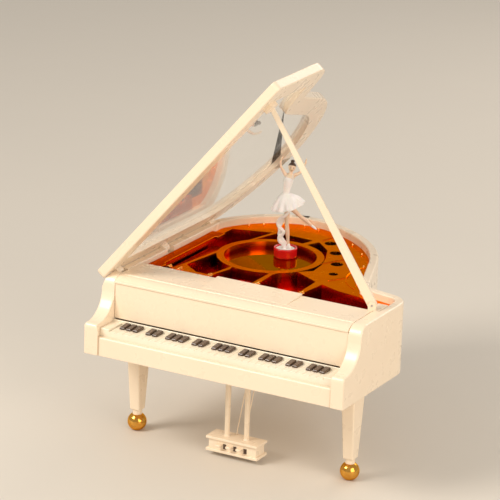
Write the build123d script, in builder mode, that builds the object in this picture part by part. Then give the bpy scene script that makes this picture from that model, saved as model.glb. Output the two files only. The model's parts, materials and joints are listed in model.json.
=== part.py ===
"""Miniature grand piano musical box with a magnetic dancer.

Millimetres, +Z up. The origin is on the floor, under the middle of the whole object's box, with the lid open.
Case places (x across from the middle of the case, y back from the fronts of the arms, z up from the floor)
are turned into this frame by plan(), front() and side().
"""

import os
from math import cos, radians, sin, tan

from build123d import *

os.makedirs("parts", exist_ok=True)

# ---- driving dimensions -------------------------------------------------------------------------

# Case
CASE_W = 160.0
CASE_BOTTOM = 54.3
CASE_TOP = 95.3
WALL = 5.0
SPINE_WALL = 8.0
ARM_W = 8.0
ARM_TOP = 72.2
CHEEK_BACK = 25.0
SHOULDER_Y = 75.8
SHOULDER_R = 12.2
WAIST = (51.8, 82.4)
WAIST_R = 4.0
BENTSIDE = (24.9, 156.4)
BENTSIDE_R = 83.1
TAIL = (-26.3, 179.7)
TAIL_R = 49.7
SPINE_END_Y = 168.5
SPINE_END_R = 57.4
FIT = 0.1
RUNNING = 0.05
COVER_T = 2.5
BOSS_IN = (13.0, 12.0, 15.5)
BOSS_Y = (60.0, 65.0, 142.0)
TAIL_BOSS = (23.5, 128.0)
BOSS_R = 3.4
BOSS_TOP = 80.0
BOSS_REACH = 9.5
SCREW_R = 1.1
SCREW_IN = 9.0
HEAD_R = 2.1
HEAD_H = 1.2

# Keyboard
SLIP_TOP = 65.0
SLIP_T = 2.6
KEY_TOP = 68.6
KEY_FRONT = 3.6
KEY_BACK = 18.4
KEY_SHELL = 1.8
WHITE_KEYS = 32
KEY_BLOCK_W = 6.0
KEY_GROOVE = 0.35
BLACK_W = 3.0
BLACK_Y0 = 9.8
BLACK_RISE = 1.7
STRIP_T = 1.0
STRIP_GAP = 0.3
BLACK_GROUPS = (3, 2, 3, 2, 3, 2, 3, 2, 3)

# Front panel, top deck and desk
PANEL_Y = 18.9
PANEL_T = 2.2
PANEL_BOTTOM = 71.0
PANEL_TOP = 91.1
DECK_BACK = 47.5
DECK_T = 2.0
NOSE_STEP = 0.45
LUG_BACK = 60.0
LUG_X = 69.0
DESK_X = (-23.3, 29.2)
DESK_Y = (29.0, 47.3)
DESK_T = 1.3

# Gold plate and mirror
PLATE_TOP = 91.0
PLATE_T = 1.6
POCKET_FLOOR = 85.0
POCKET_T = 1.2
MIRROR_AT = (-24.3, 110.3)
MIRROR_TOP = 87.0
MIRROR_T = 1.5
RING_IN = 26.4
RING_OUT = 29.4
SEAT_IN = 24.6
PIN_R = 0.55
PIN_H = 1.1
HITCH_IN = 2.8
HITCH = ((-62.5, 153.5), (-52.1, 156.0), (-42.0, 159.0), (-33.3, 162.5), (-23.8, 169.0), (-6.6, 165.7), (7.9, 156.2),
         (18.9, 141.6), (27.1, 121.1), (30.0, 107.7), (37.2, 91.6))
POCKETS = {
    "spine": [(-66.5, 57), (-60.5, 57), (-58.5, 68), (-53.5, 104), (-50.5, 121), (-43.5, 149), (-66.5, 142)],
    "left": [(-56, 70), (-45, 61.5), (-37, 61.5), (-35.5, 68), (-33, 84), (-52, 100)],
    "front": [(-33, 82), (-31.6, 76), (-34.2, 66), (-35, 51.5), (-10, 51.5), (-10, 82)],
    "middle": [(-7.4, 82), (-6.6, 66), (-6.6, 51.5), (16.4, 51.5), (19, 66), (18.4, 84), (-2, 96)],
    "right": [(23.4, 82), (21.8, 66), (19.8, 51.5), (66, 51.5), (66.5, 66), (50, 74.5), (36, 77)],
    "back": [(-49, 122), (-40.5, 150.5), (-17, 149), (-22, 134)],
    "crescent": [(-18.5, 134), (-13, 148.5), (-2, 137.5), (4, 124), (7.5, 112), (8.5, 100), (0, 92), (-8, 120)],
}
HOLES = (((-6.3, 149.9), 3.5), ((4.4, 135.6), 3.5), ((14.0, 118.2), 3.5), ((20.4, 101.5), 2.6))
PLATE_SCREWS_IN = ((10.4, 63.5), (12.8, 65.7), (10.4, 120.0), (12.8, 122.2))
PLATE_SCREW_R = 0.75

# Lid
LID_T = 5.6
LID_FRONT = 18.8
LID_GROW = 1.9
LID_SHIFT = 1.6
LID_BAR = 14.0
LID_FRONT_BAR = 11.5
PANE_SEAT = 2.8
PANE_T = 1.2
PANE_LEDGE = 2.0
LID_OPEN = 49.8
HINGE_IN = 4.0
HINGE_Z = 93.7
LUG_R = 1.9
HINGE_PIN_R = 0.8
HINGE_Y = (29.8, 80.2, 134.5)
HINGE_W = 6.0
POCKET_GAP = 0.5

# Prop
PROP_FOOT_IN = 9.3
PROP_FOOT_Y = 49.0
PROP_LIFT = 2.8
PROP_TIP_AT = (16.6, 29.0)
PROP_DROP = 2.72
PROP_W = (5.4, 2.6)
PROP_T = 2.0
PROP_PIN_R = 0.7
EAR_R = 2.1
EAR_T = 1.4
EAR_GAP = 0.2
STUB_H = 2.4
STUB_SIZE = 6.5
STUB_GAP = 0.25

# Legs and lyre
LEG_IN = 12.9
LEG_Y = 38.4
TAIL_LEG = (-24.0, 152.0)
LEG_TOP = (8.3, 14.4)
LEG_FOOT = (6.4, 6.6)
LEG_Z = 12.2
NECK_R = 2.65
NECK_Z = 9.4
BALL_R = 5.4
BALL_Z = 4.9
SPIGOT_R = 2.2
SPIGOT_H = 2.0
LYRE_Y = 32.3
LYRE_BOX = (32.3, 12.3)
LYRE_BOTTOM = 2.8
LYRE_TOP = 11.3
LYRE_PLATE = 1.4
COLUMN_X = 6.1
COLUMN_R = (1.7, 1.4)
PEDAL_W = 3.2
ROD_R = 0.5

# Dancer
DANCER_AT = (-22.6, 125.3)
DANCER_TURN = 28.0
CUP_R = 6.75
CUP_H = 5.6
CUP_WALL = 1.3
CUP_GAP = 0.05
CUP_FLOOR = 1.0
CUP_MAGNET_H = 2.0
DISC_H = 1.8

# Movement
ARM_AT = (-18.0, 117.0)
BED_T = 1.5
MODULE = 0.6
BARREL_TEETH = 60
PINION_TEETH = 20
BARREL_BEARING = -75.0
BARREL_R = 15.2
BARREL_H = 7.6
CROWN_TEETH = 48
CROWN_R = 12.6
CROWN_H = 1.1
CYLINDER_TEETH = 20
CYLINDER_R = 6.0
CYLINDER_L = 27.0
SUN_MODULE = 0.5
SUN_TEETH = 18
PLANET_TEETH = 20
SHAFT_R = 1.2
ARBOR_R = 2.0
KEY_DROP = 12.0
COMB_TEETH = 18
GEAR_T = 2.0
BARREL_WALL = 1.2
BARREL_HUB = 3.2
BARREL_LID_T = 1.0
CROWN_FACE = 2.4
AXLE_R = 1.0
BEARING_T = 1.5
POST_X = 10.0
BRIDGE_T = 1.5
SUN_Z = 76.0
SUN_TUBE_R = 2.4
ARM_T = 1.6
MAGNET_R = 4.0
PLANET_PIN_R = 0.8
COMB_ROOT = 3.0
COMB_T = 0.9
GOVERNOR_AT = (-25.5, 56.0)
FLY_R = 3.4
BED = ((-33.0, 13.0), (42.0, 128.0))
BED_SCREWS = ((-30.0, 80.0), (9.5, 80.0), (9.5, 124.0))

# ---- places worked out from the dimensions ------------------------------------------------------

HALF = CASE_W / 2
BOSS_AT = (
    (BOSS_IN[0] - HALF, BOSS_Y[0]),
    (HALF - BOSS_IN[1], BOSS_Y[1]),
    (BOSS_IN[2] - HALF, BOSS_Y[2]),
    TAIL_BOSS,
)
LEG_AT = ((LEG_IN - HALF, LEG_Y), (HALF - LEG_IN, LEG_Y), TAIL_LEG)
PLATE_SCREWS = [(x - HALF, y) for x, y in PLATE_SCREWS_IN]
HINGE_X = HINGE_IN - HALF
OPEN = radians(LID_OPEN)
LID_LEFT = -HALF - LID_GROW + LID_SHIFT
LID_ARM = LID_LEFT - HINGE_X
LID_X = HINGE_X + LID_ARM * cos(OPEN) - LUG_R * sin(OPEN)
LID_Z = HINGE_Z + LID_ARM * sin(OPEN) + LUG_R * cos(OPEN)
PROP_FOOT = (HALF - PROP_FOOT_IN, PROP_FOOT_Y, CASE_TOP + PROP_LIFT)
PROP_TIP = (*PROP_TIP_AT, LID_Z + (PROP_TIP_AT[0] - LID_X) * tan(OPEN) - PROP_DROP / cos(OPEN))
BLACK_BACK = KEY_BACK - STRIP_T - FIT


def outline():
    """The case's plan: straight spine and cheek, a rounded shoulder, a waist, the bentside and the tail."""
    corners = [(HALF, 0), (HALF, SHOULDER_Y), WAIST, BENTSIDE, TAIL, (-HALF, SPINE_END_Y), (-HALF, 0)]
    radii = [0, SHOULDER_R, WAIST_R, BENTSIDE_R, TAIL_R, SPINE_END_R, 0]
    return corners, radii


def plan_sketch(grow=0.0):
    """The case's plan as a face, grown outwards by grow, or shrunk if it is negative."""
    corners, radii = outline()
    with BuildSketch() as sketch:
        with BuildLine():
            FilletPolyline(*corners, radius=radii[1:-1])
            Line(corners[-1], corners[0])
        make_face()
        if grow:
            offset(amount=grow, kind=Kind.INTERSECTION)
    return sketch.sketch


CASE_BACK = plan_sketch().bounding_box().max.Y
GEAR_SPAN = (BARREL_TEETH + PINION_TEETH) * MODULE / 2
BARREL_AT = (
    ARM_AT[0] + GEAR_SPAN * cos(radians(BARREL_BEARING)),
    ARM_AT[1] + GEAR_SPAN * sin(radians(BARREL_BEARING)),
)
FRAME_X = (LID_X - LID_T * sin(OPEN) + HALF) / 2
FRAME_Y = (CASE_BACK + LID_GROW) / 2


def plan(z=0.0, x=0.0, y=0.0):
    """A level plane at height z, with its origin at the case place x, y."""
    return Plane(origin=(x - FRAME_X, y - FRAME_Y, z))


def front(y):
    """An upright plane at y that faces the front. Its own axes are x across and z up."""
    return Plane(origin=(-FRAME_X, y - FRAME_Y, 0), x_dir=(1, 0, 0), z_dir=(0, -1, 0))


def side(x):
    """An upright plane at x that faces right. Its own axes are y back and z up."""
    return Plane(origin=(x - FRAME_X, -FRAME_Y, 0), x_dir=(0, 1, 0), z_dir=(1, 0, 0))


def lid_plane(n=0.0):
    """A plane in the open lid, n above its underside. Its axes are out from the hinge edge and back."""
    origin = (LID_X - FRAME_X - n * sin(OPEN), -FRAME_Y, LID_Z + n * cos(OPEN))
    return Plane(origin=origin, x_dir=(cos(OPEN), 0, sin(OPEN)), z_dir=(-sin(OPEN), 0, cos(OPEN)))


def place(x, y, z):
    """A case place in the part's frame."""
    return Vector(x - FRAME_X, y - FRAME_Y, z)


def gear_sketch(teeth, module, phase=0.0, bore=0.0):
    """A spur gear's face: straight-sided teeth, each narrower than half the pitch, so that a pair runs free."""
    pitch_r = teeth * module / 2
    root_r = pitch_r - 1.15 * module
    tip_r = pitch_r + 0.85 * module
    step = 360 / teeth
    points = []
    for tooth in range(teeth):
        middle = phase + tooth * step
        for radius, share in ((root_r, -0.29), (tip_r, -0.12), (tip_r, 0.12), (root_r, 0.29)):
            turn = radians(middle + share * step)
            points.append((radius * cos(turn), radius * sin(turn)))
    with BuildSketch() as sketch:
        with BuildLine():
            Polyline(*points, close=True)
        make_face()
        if bore:
            Circle(bore, mode=Mode.SUBTRACT)
    return sketch.sketch


# ---- case ---------------------------------------------------------------------------------------

PLATE_BOTTOM = PLATE_TOP - PLATE_T

with BuildPart() as case_shell:
    with BuildSketch(plan(CASE_BOTTOM)):
        add(plan_sketch())
    extrude(amount=CASE_TOP - CASE_BOTTOM)
    with BuildSketch(plan(CASE_BOTTOM - 1)):
        add(plan_sketch(-WALL))
        with Locations((-HALF, CASE_BACK / 2)):
            Rectangle(2 * SPINE_WALL, 2 * CASE_BACK, mode=Mode.SUBTRACT)
        with Locations((0, DECK_BACK / 2 - HALF)):
            Rectangle(2 * CASE_W, DECK_BACK + CASE_W, mode=Mode.SUBTRACT)
        with Locations((0, DECK_BACK / 2)):
            Rectangle(CASE_W - 2 * ARM_W, DECK_BACK + 1)
    extrude(amount=CASE_TOP, mode=Mode.SUBTRACT)
    with BuildSketch(side(-HALF)):
        with BuildLine():
            Polyline((-1, CASE_TOP + 1), (-1, ARM_TOP), (0, ARM_TOP - 2.2))
            ThreePointArc((0, ARM_TOP - 2.2), (0.7, ARM_TOP - 0.6), (2.4, ARM_TOP))
            ThreePointArc((2.4, ARM_TOP), (13.4, ARM_TOP + 4.4), (18.6, ARM_TOP + 14.6))
            ThreePointArc((18.6, ARM_TOP + 14.6), (20.4, CASE_TOP - 1.9), (CHEEK_BACK, CASE_TOP))
            Polyline((CHEEK_BACK, CASE_TOP), (CHEEK_BACK, CASE_TOP + 1), (-1, CASE_TOP + 1))
        make_face()
    extrude(amount=CASE_W, mode=Mode.SUBTRACT)
    # The spine's top outer edge leans back, as the open lid's edge hangs over it.
    with BuildSketch(front(LID_FRONT - 1)):
        with BuildLine():
            Polyline((-HALF - 1, CASE_TOP + 1), (-HALF - 1, 86.0), (-HALF, 87.6), close=False)
            Polyline((-HALF, 87.6), (HINGE_X - 1.4, CASE_TOP - 0.4), (HINGE_X - 0.4, CASE_TOP + 1))
            Line((HINGE_X - 0.4, CASE_TOP + 1), (-HALF - 1, CASE_TOP + 1))
        make_face()
    extrude(amount=-CASE_BACK, mode=Mode.SUBTRACT)
    for y in HINGE_Y:
        with BuildSketch(front(y - HINGE_W / 2 - POCKET_GAP)):
            with Locations((HINGE_X, HINGE_Z)):
                Circle(LUG_R * 1.42 + POCKET_GAP)
            with Locations((HINGE_X, HINGE_Z + 5)):
                Rectangle(2 * (LUG_R * 1.42 + POCKET_GAP), 10)
        extrude(amount=-HINGE_W - 2 * POCKET_GAP, mode=Mode.SUBTRACT)
        with BuildSketch(front(y - HINGE_W / 2 - 3)):
            with Locations((HINGE_X, HINGE_Z)):
                Circle(HINGE_PIN_R)
        extrude(amount=-HINGE_W - 6, mode=Mode.SUBTRACT)
    # Screw bosses stand on the walls, inside.
    for x, y in BOSS_AT:
        with BuildSketch(plan(CASE_BOTTOM + COVER_T, x, y)):
            Circle(BOSS_R)
            with Locations((BOSS_REACH / 2 if x > 0 else -BOSS_REACH / 2, 0)):
                Rectangle(BOSS_REACH, BOSS_R)
            Circle(SCREW_R, mode=Mode.SUBTRACT)
        extrude(amount=BOSS_TOP - CASE_BOTTOM - COVER_T)

cover_in = WALL + FIT

with BuildPart() as bottom_cover:
    with BuildSketch(plan(CASE_BOTTOM)):
        add(plan_sketch(-cover_in))
        with Locations((-HALF, CASE_BACK / 2)):
            Rectangle(2 * SPINE_WALL + 2 * FIT, 2 * CASE_BACK, mode=Mode.SUBTRACT)
        with Locations((0, (DECK_BACK + FIT) / 2 - HALF)):
            Rectangle(2 * CASE_W, DECK_BACK + FIT + CASE_W, mode=Mode.SUBTRACT)
        with Locations((0, (DECK_BACK + FIT + KEY_FRONT) / 2)):
            Rectangle(CASE_W - 2 * ARM_W - 2 * FIT, DECK_BACK + FIT - KEY_FRONT + 0.02)
        with Locations(*BOSS_AT):
            Circle(SCREW_R + 0.1, mode=Mode.SUBTRACT)
        with Locations(*LEG_AT):
            Circle(SPIGOT_R, mode=Mode.SUBTRACT)
        with Locations(BARREL_AT):
            Circle(ARBOR_R + 0.4, mode=Mode.SUBTRACT)
    extrude(amount=COVER_T)
    with BuildSketch(plan(CASE_BOTTOM)):
        with Locations(*BOSS_AT):
            Circle(HEAD_R + 0.15)
    extrude(amount=HEAD_H, mode=Mode.SUBTRACT)

# ---- front --------------------------------------------------------------------------------------

between = CASE_W - 2 * ARM_W - 2 * FIT
keys_w = between - 2 * KEY_BLOCK_W
key_pitch = keys_w / WHITE_KEYS

with BuildPart() as key_slip:
    with BuildSketch(side(-between / 2)):
        with BuildLine():
            Polyline((0.8, CASE_BOTTOM), (0.8, SLIP_TOP - 0.8))
            ThreePointArc((0.8, SLIP_TOP - 0.8), (1.05, SLIP_TOP - 0.25), (1.6, SLIP_TOP))
            Polyline((1.6, SLIP_TOP), (0.8 + SLIP_T, SLIP_TOP), (0.8 + SLIP_T, CASE_BOTTOM), (0.8, CASE_BOTTOM))
        make_face()
    extrude(amount=between)

# Black keys stand at every gap inside a group, counted from the left.
black_x = []
gap = 0
for group in BLACK_GROUPS:
    for key in range(group):
        gap += 1
        black_x.append(-keys_w / 2 + gap * key_pitch)
    gap += 1

with BuildPart() as keyboard:
    with BuildSketch(side(-between / 2)):
        with BuildLine():
            Polyline(
                (KEY_FRONT, CASE_BOTTOM + COVER_T + FIT),
                (KEY_FRONT, KEY_TOP - 0.6),
                (KEY_FRONT + 0.6, KEY_TOP),
                (KEY_BACK, KEY_TOP),
                (KEY_BACK, KEY_TOP - KEY_SHELL),
                (KEY_FRONT + KEY_SHELL, KEY_TOP - KEY_SHELL),
                (KEY_FRONT + KEY_SHELL, CASE_BOTTOM + COVER_T + FIT),
                close=True,
            )
        make_face()
    extrude(amount=between)
    for edge in (-between / 2, between / 2 - KEY_BLOCK_W):
        with BuildSketch(side(edge)):
            with Locations(((KEY_FRONT + KEY_BACK) / 2, KEY_TOP + 0.5)):
                Rectangle(KEY_BACK - KEY_FRONT, 1.0)
        extrude(amount=KEY_BLOCK_W - 0.3)
    with BuildSketch(plan(KEY_TOP - 0.7)):
        for key in range(WHITE_KEYS + 1):
            with Locations((-keys_w / 2 + key * key_pitch, (KEY_FRONT + KEY_BACK) / 2 - 1)):
                Rectangle(KEY_GROOVE, KEY_BACK - KEY_FRONT + 2)
    extrude(amount=5, mode=Mode.SUBTRACT)
    with BuildSketch(plan(KEY_TOP - 5)):
        for x in black_x:
            with Locations((x, (BLACK_Y0 + BLACK_BACK + FIT) / 2)):
                Rectangle(BLACK_W + 2 * FIT, BLACK_BACK + FIT - BLACK_Y0)
    extrude(amount=10, mode=Mode.SUBTRACT)
    # A strip stands behind the black keys, just under the front panel.
    with BuildSketch(side(-between / 2)):
        with Locations((KEY_BACK - STRIP_T / 2, (KEY_TOP - KEY_SHELL + PANEL_BOTTOM - STRIP_GAP) / 2)):
            Rectangle(STRIP_T, PANEL_BOTTOM - STRIP_GAP - KEY_TOP + KEY_SHELL)
    extrude(amount=between)

with BuildPart() as black_keys:
    with BuildSketch(side(-keys_w / 2)):
        with Locations(((BLACK_Y0 + BLACK_BACK) / 2, KEY_TOP - KEY_SHELL - 0.7)):
            Rectangle(BLACK_BACK - BLACK_Y0, 1.2)
    extrude(amount=keys_w)
    for x in black_x:
        with BuildSketch(side(x - BLACK_W / 2)):
            with BuildLine():
                Polyline(
                    (BLACK_Y0 + FIT, KEY_TOP - KEY_SHELL - 0.2),
                    (BLACK_Y0 + FIT, KEY_TOP + 0.3),
                    (BLACK_Y0 + 0.9, KEY_TOP + BLACK_RISE),
                    (BLACK_BACK, KEY_TOP + BLACK_RISE),
                    (BLACK_BACK, KEY_TOP - KEY_SHELL - 0.2),
                    close=True,
                )
            make_face()
        extrude(amount=BLACK_W)

with BuildPart() as front_panel:
    with BuildSketch(side(-between / 2)):
        with Locations((PANEL_Y + PANEL_T / 2, (PANEL_BOTTOM + PANEL_TOP) / 2)):
            Rectangle(PANEL_T, PANEL_TOP - PANEL_BOTTOM)
    extrude(amount=between)

with BuildPart() as top_deck:
    with BuildSketch(side(-between / 2)):
        with BuildLine():
            Polyline((PANEL_Y - 0.6, PANEL_TOP + FIT), (PANEL_Y - 0.6, PANEL_TOP + 1.3), (PANEL_Y, PANEL_TOP + 1.5))
            ThreePointArc((PANEL_Y, PANEL_TOP + 1.5), (20.9, CASE_TOP - 1.4), (CHEEK_BACK, CASE_TOP - NOSE_STEP))
            Polyline(
                (CHEEK_BACK, CASE_TOP - NOSE_STEP),
                (CHEEK_BACK, CASE_TOP),
                (DECK_BACK, CASE_TOP),
                (DECK_BACK, CASE_TOP - DECK_T),
                (PANEL_Y + PANEL_T + 1.5, CASE_TOP - DECK_T),
                (PANEL_Y + PANEL_T + 1.5, PANEL_TOP + FIT),
                (PANEL_Y - 0.6, PANEL_TOP + FIT),
            )
        make_face()
    extrude(amount=between)
    # The deck runs back on the right, under the prop.
    with BuildSketch(plan(CASE_TOP - DECK_T)):
        right = HALF - WALL - FIT
        with Locations(((LUG_X + right) / 2, (DECK_BACK + LUG_BACK) / 2)):
            Rectangle(right - LUG_X, LUG_BACK - DECK_BACK)
        with Locations(((LUG_X + between / 2) / 2, DECK_BACK)):
            Rectangle(between / 2 - LUG_X, 2)
    extrude(amount=DECK_T)

with BuildPart() as music_desk:
    with BuildSketch(side(DESK_X[0])):
        with BuildLine():
            Polyline(
                (DESK_Y[0], CASE_TOP),
                (DESK_Y[0], CASE_TOP + 0.15),
                (DESK_Y[1], CASE_TOP + DESK_T),
                (DESK_Y[1], CASE_TOP),
                close=True,
            )
        make_face()
    extrude(amount=DESK_X[1] - DESK_X[0])

# ---- gold plate, mirror -------------------------------------------------------------------------

plate_in = WALL + FIT

def pocket_sketch(points, grow=0.0):
    """A pocket's plan, held clear of the mirror's ring, and grown outwards by grow."""
    with BuildSketch() as sketch:
        with BuildLine():
            Polyline(*points, close=True)
        make_face()
        if grow:
            offset(amount=grow, kind=Kind.INTERSECTION)
        with Locations(MIRROR_AT):
            Circle(RING_OUT + POCKET_T - grow, mode=Mode.SUBTRACT)
    return sketch.sketch


with BuildPart() as gold_plate:
    with BuildSketch(plan(PLATE_BOTTOM)):
        add(plan_sketch(-plate_in))
        with Locations((-HALF, CASE_BACK / 2)):
            Rectangle(2 * SPINE_WALL + 2 * FIT, 2 * CASE_BACK, mode=Mode.SUBTRACT)
        with Locations((0, (DECK_BACK + 1) / 2 - HALF)):
            Rectangle(2 * CASE_W, DECK_BACK + 1 + CASE_W, mode=Mode.SUBTRACT)
    extrude(amount=PLATE_T)
    for points in POCKETS.values():
        with BuildSketch(plan(POCKET_FLOOR - POCKET_T)):
            add(pocket_sketch(points, POCKET_T))
        extrude(amount=PLATE_BOTTOM - POCKET_FLOOR + POCKET_T)
    with BuildSketch(plan(MIRROR_TOP - MIRROR_T - POCKET_T)):
        with Locations(MIRROR_AT):
            Circle(RING_OUT)
    extrude(amount=PLATE_TOP - MIRROR_TOP + MIRROR_T + POCKET_T)
    for points in POCKETS.values():
        with BuildSketch(plan(POCKET_FLOOR)):
            add(pocket_sketch(points))
        extrude(amount=PLATE_TOP, mode=Mode.SUBTRACT)
    with BuildSketch(plan(MIRROR_TOP)):
        with Locations(MIRROR_AT):
            Circle(RING_IN)
    extrude(amount=PLATE_TOP, mode=Mode.SUBTRACT)
    with BuildSketch(plan(MIRROR_TOP - MIRROR_T)):
        with Locations(MIRROR_AT):
            Circle(RING_IN)
    extrude(amount=MIRROR_T + 1, mode=Mode.SUBTRACT)
    with BuildSketch(plan(POCKET_FLOOR - 10)):
        with Locations(MIRROR_AT):
            Circle(SEAT_IN)
    extrude(amount=PLATE_TOP, mode=Mode.SUBTRACT)
    for (x, y), radius in HOLES:
        with BuildSketch(plan(PLATE_BOTTOM - 1, x, y)):
            Circle(radius)
        extrude(amount=10, mode=Mode.SUBTRACT)
    for x, y in PLATE_SCREWS:
        with BuildSketch(plan(PLATE_TOP - 0.9, x, y)):
            Circle(PLATE_SCREW_R)
        extrude(amount=10, mode=Mode.SUBTRACT)

with BuildPart() as mirror:
    with BuildSketch(plan(MIRROR_TOP - MIRROR_T)):
        with Locations(MIRROR_AT):
            Circle(RING_IN - FIT)
    extrude(amount=MIRROR_T)

# Each hitch pin stands on a line that runs round beside the wall.
rim = plan_sketch(-plate_in - HITCH_IN).wire()
with BuildPart() as hitch_pins:
    with BuildSketch(plan(PLATE_TOP)):
        with Locations(*(rim.closest_points(Vertex(*spot, 0))[0] for spot in HITCH)):
            Circle(PIN_R)
    extrude(amount=PIN_H)

# ---- lid and prop -------------------------------------------------------------------------------


def lid_sketch(inset=0.0, front_inset=0.0):
    """The lid's plan in its own axes, inset from its edge all round and from its front edge."""
    with BuildSketch() as sketch:
        with Locations((-LID_LEFT + LID_SHIFT, 0)):
            add(plan_sketch(LID_GROW - inset))
        with Locations((CASE_W / 2, LID_FRONT + front_inset - CASE_W)):
            Rectangle(3 * CASE_W, 2 * CASE_W, mode=Mode.SUBTRACT)
    return sketch.sketch


with BuildPart() as lid_frame:
    with BuildSketch(lid_plane()):
        add(lid_sketch())
    extrude(amount=LID_T)
    with BuildSketch(lid_plane(-1)):
        add(lid_sketch(LID_BAR, LID_FRONT_BAR))
    extrude(amount=LID_T + 2, mode=Mode.SUBTRACT)
    with BuildSketch(lid_plane(PANE_SEAT)):
        add(lid_sketch(LID_BAR - PANE_LEDGE, LID_FRONT_BAR - PANE_LEDGE))
    extrude(amount=LID_T, mode=Mode.SUBTRACT)
    for y in HINGE_Y:
        with BuildSketch(front(y - HINGE_W / 2)):
            with Locations((HINGE_X, HINGE_Z)):
                Circle(LUG_R)
                with Locations(Location((0, 0), LID_OPEN)):
                    with Locations((0, LUG_R / 2 + 0.3)):
                        Rectangle(2 * LUG_R, LUG_R + 0.6)
        extrude(amount=-HINGE_W)
    for y in HINGE_Y:
        with BuildSketch(front(y - HINGE_W)):
            with Locations((HINGE_X, HINGE_Z)):
                Circle(HINGE_PIN_R + RUNNING)
        extrude(amount=-2 * HINGE_W, mode=Mode.SUBTRACT)
    # The prop's tip bears on this block, under the front bar.
    tip_u = (PROP_TIP[0] - LID_X) * cos(OPEN) + (PROP_TIP[2] - LID_Z) * sin(OPEN)
    with BuildSketch(lid_plane(-STUB_H)):
        with Locations((tip_u, PROP_TIP[1])):
            RectangleRounded(STUB_SIZE, STUB_SIZE, 0.8)
    extrude(amount=STUB_H + 0.5)

with BuildPart() as lid_pane:
    with BuildSketch(lid_plane(PANE_SEAT)):
        add(lid_sketch(LID_BAR - PANE_LEDGE + FIT, LID_FRONT_BAR - PANE_LEDGE + FIT))
    extrude(amount=PANE_T)

with BuildPart() as hinge_pins:
    for y in HINGE_Y:
        with BuildSketch(front(y - HINGE_W / 2 - 3)):
            with Locations((HINGE_X, HINGE_Z)):
                Circle(HINGE_PIN_R)
        extrude(amount=-HINGE_W - 6)

lean = Vector(*PROP_TIP) - Vector(*PROP_FOOT)
level = Vector(lean.X, lean.Y, 0).normalized()
prop_axis = Vector(0, 0, 1).cross(level)
prop_plane = Plane(origin=place(*PROP_FOOT), x_dir=level, z_dir=prop_axis * -1)
prop_reach = Vector(lean.X, lean.Y, 0).length
prop_end = (prop_reach, lean.Z)
prop_side = Vector(-lean.Z, prop_reach).normalized()


def prop_at(share, across):
    """A point of the prop's outline in its own plane: share of the way up, and across from its middle line."""
    return (prop_end[0] * share + prop_side.X * across, prop_end[1] * share + prop_side.Y * across)


with BuildPart() as lid_prop:
    with BuildSketch(prop_plane.offset(-PROP_T / 2)):
        with BuildLine():
            Polyline(
                prop_at(0, PROP_W[0] / 2),
                prop_at(1.05, PROP_W[1] / 2),
                prop_at(1.05, -PROP_W[1] / 2),
                prop_at(0, -PROP_W[0] / 2),
                close=True,
            )
        make_face()
        Circle(PROP_W[0] / 2)
        Circle(PROP_PIN_R + RUNNING, mode=Mode.SUBTRACT)
    extrude(amount=PROP_T)
    with BuildSketch(lid_plane(-STUB_H - STUB_GAP)):
        with Locations((CASE_W / 2, CASE_W / 2)):
            Rectangle(3 * CASE_W, 3 * CASE_W)
    extrude(amount=30, mode=Mode.SUBTRACT)

with BuildPart() as prop_bracket:
    for start in (-PROP_T / 2 - EAR_GAP - EAR_T, PROP_T / 2 + EAR_GAP):
        with BuildSketch(prop_plane.offset(start)):
            Circle(EAR_R)
            with Locations((0, (CASE_TOP - PROP_FOOT[2]) / 2)):
                Rectangle(2 * EAR_R, PROP_FOOT[2] - CASE_TOP)
            Circle(PROP_PIN_R, mode=Mode.SUBTRACT)
        extrude(amount=EAR_T)

with BuildPart() as prop_pin:
    with BuildSketch(prop_plane.offset(-PROP_T / 2 - EAR_GAP - EAR_T)):
        Circle(PROP_PIN_R)
    extrude(amount=PROP_T + 2 * (EAR_GAP + EAR_T))

# ---- legs and lyre ------------------------------------------------------------------------------

LEG_NAMES = ("left", "right", "tail")


def build_leg(x, y):
    """A square leg that narrows downwards, with a spigot for the cover and a round neck for the foot."""
    with BuildPart() as leg:
        with BuildSketch(plan(CASE_BOTTOM, x, y)):
            RectangleRounded(*LEG_TOP, 0.6)
        with BuildSketch(plan(LEG_Z, x, y)):
            RectangleRounded(*LEG_FOOT, 0.6)
        loft()
        with BuildSketch(plan(CASE_BOTTOM, x, y)):
            Circle(SPIGOT_R)
        extrude(amount=SPIGOT_H)
        with BuildSketch(plan(NECK_Z, x, y)):
            Circle(NECK_R)
        extrude(amount=LEG_Z - NECK_Z)
    return leg


def build_ball(x, y):
    """A ball foot, flat underneath and with a socket on top for the leg's neck."""
    with BuildPart() as ball:
        with Locations(place(x, y, BALL_Z)):
            Sphere(BALL_R)
        with BuildSketch(plan(0, x, y)):
            Rectangle(30, 30)
        extrude(amount=-20, mode=Mode.SUBTRACT)
        with BuildSketch(plan(NECK_Z, x, y)):
            Circle(30)
        extrude(amount=20, mode=Mode.SUBTRACT)
    return ball


leg_parts = {}
for name, (x, y) in zip(LEG_NAMES, LEG_AT):
    leg_parts["leg_" + name] = build_leg(x, y)
    leg_parts["ball_foot_" + name] = build_ball(x, y)

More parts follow.
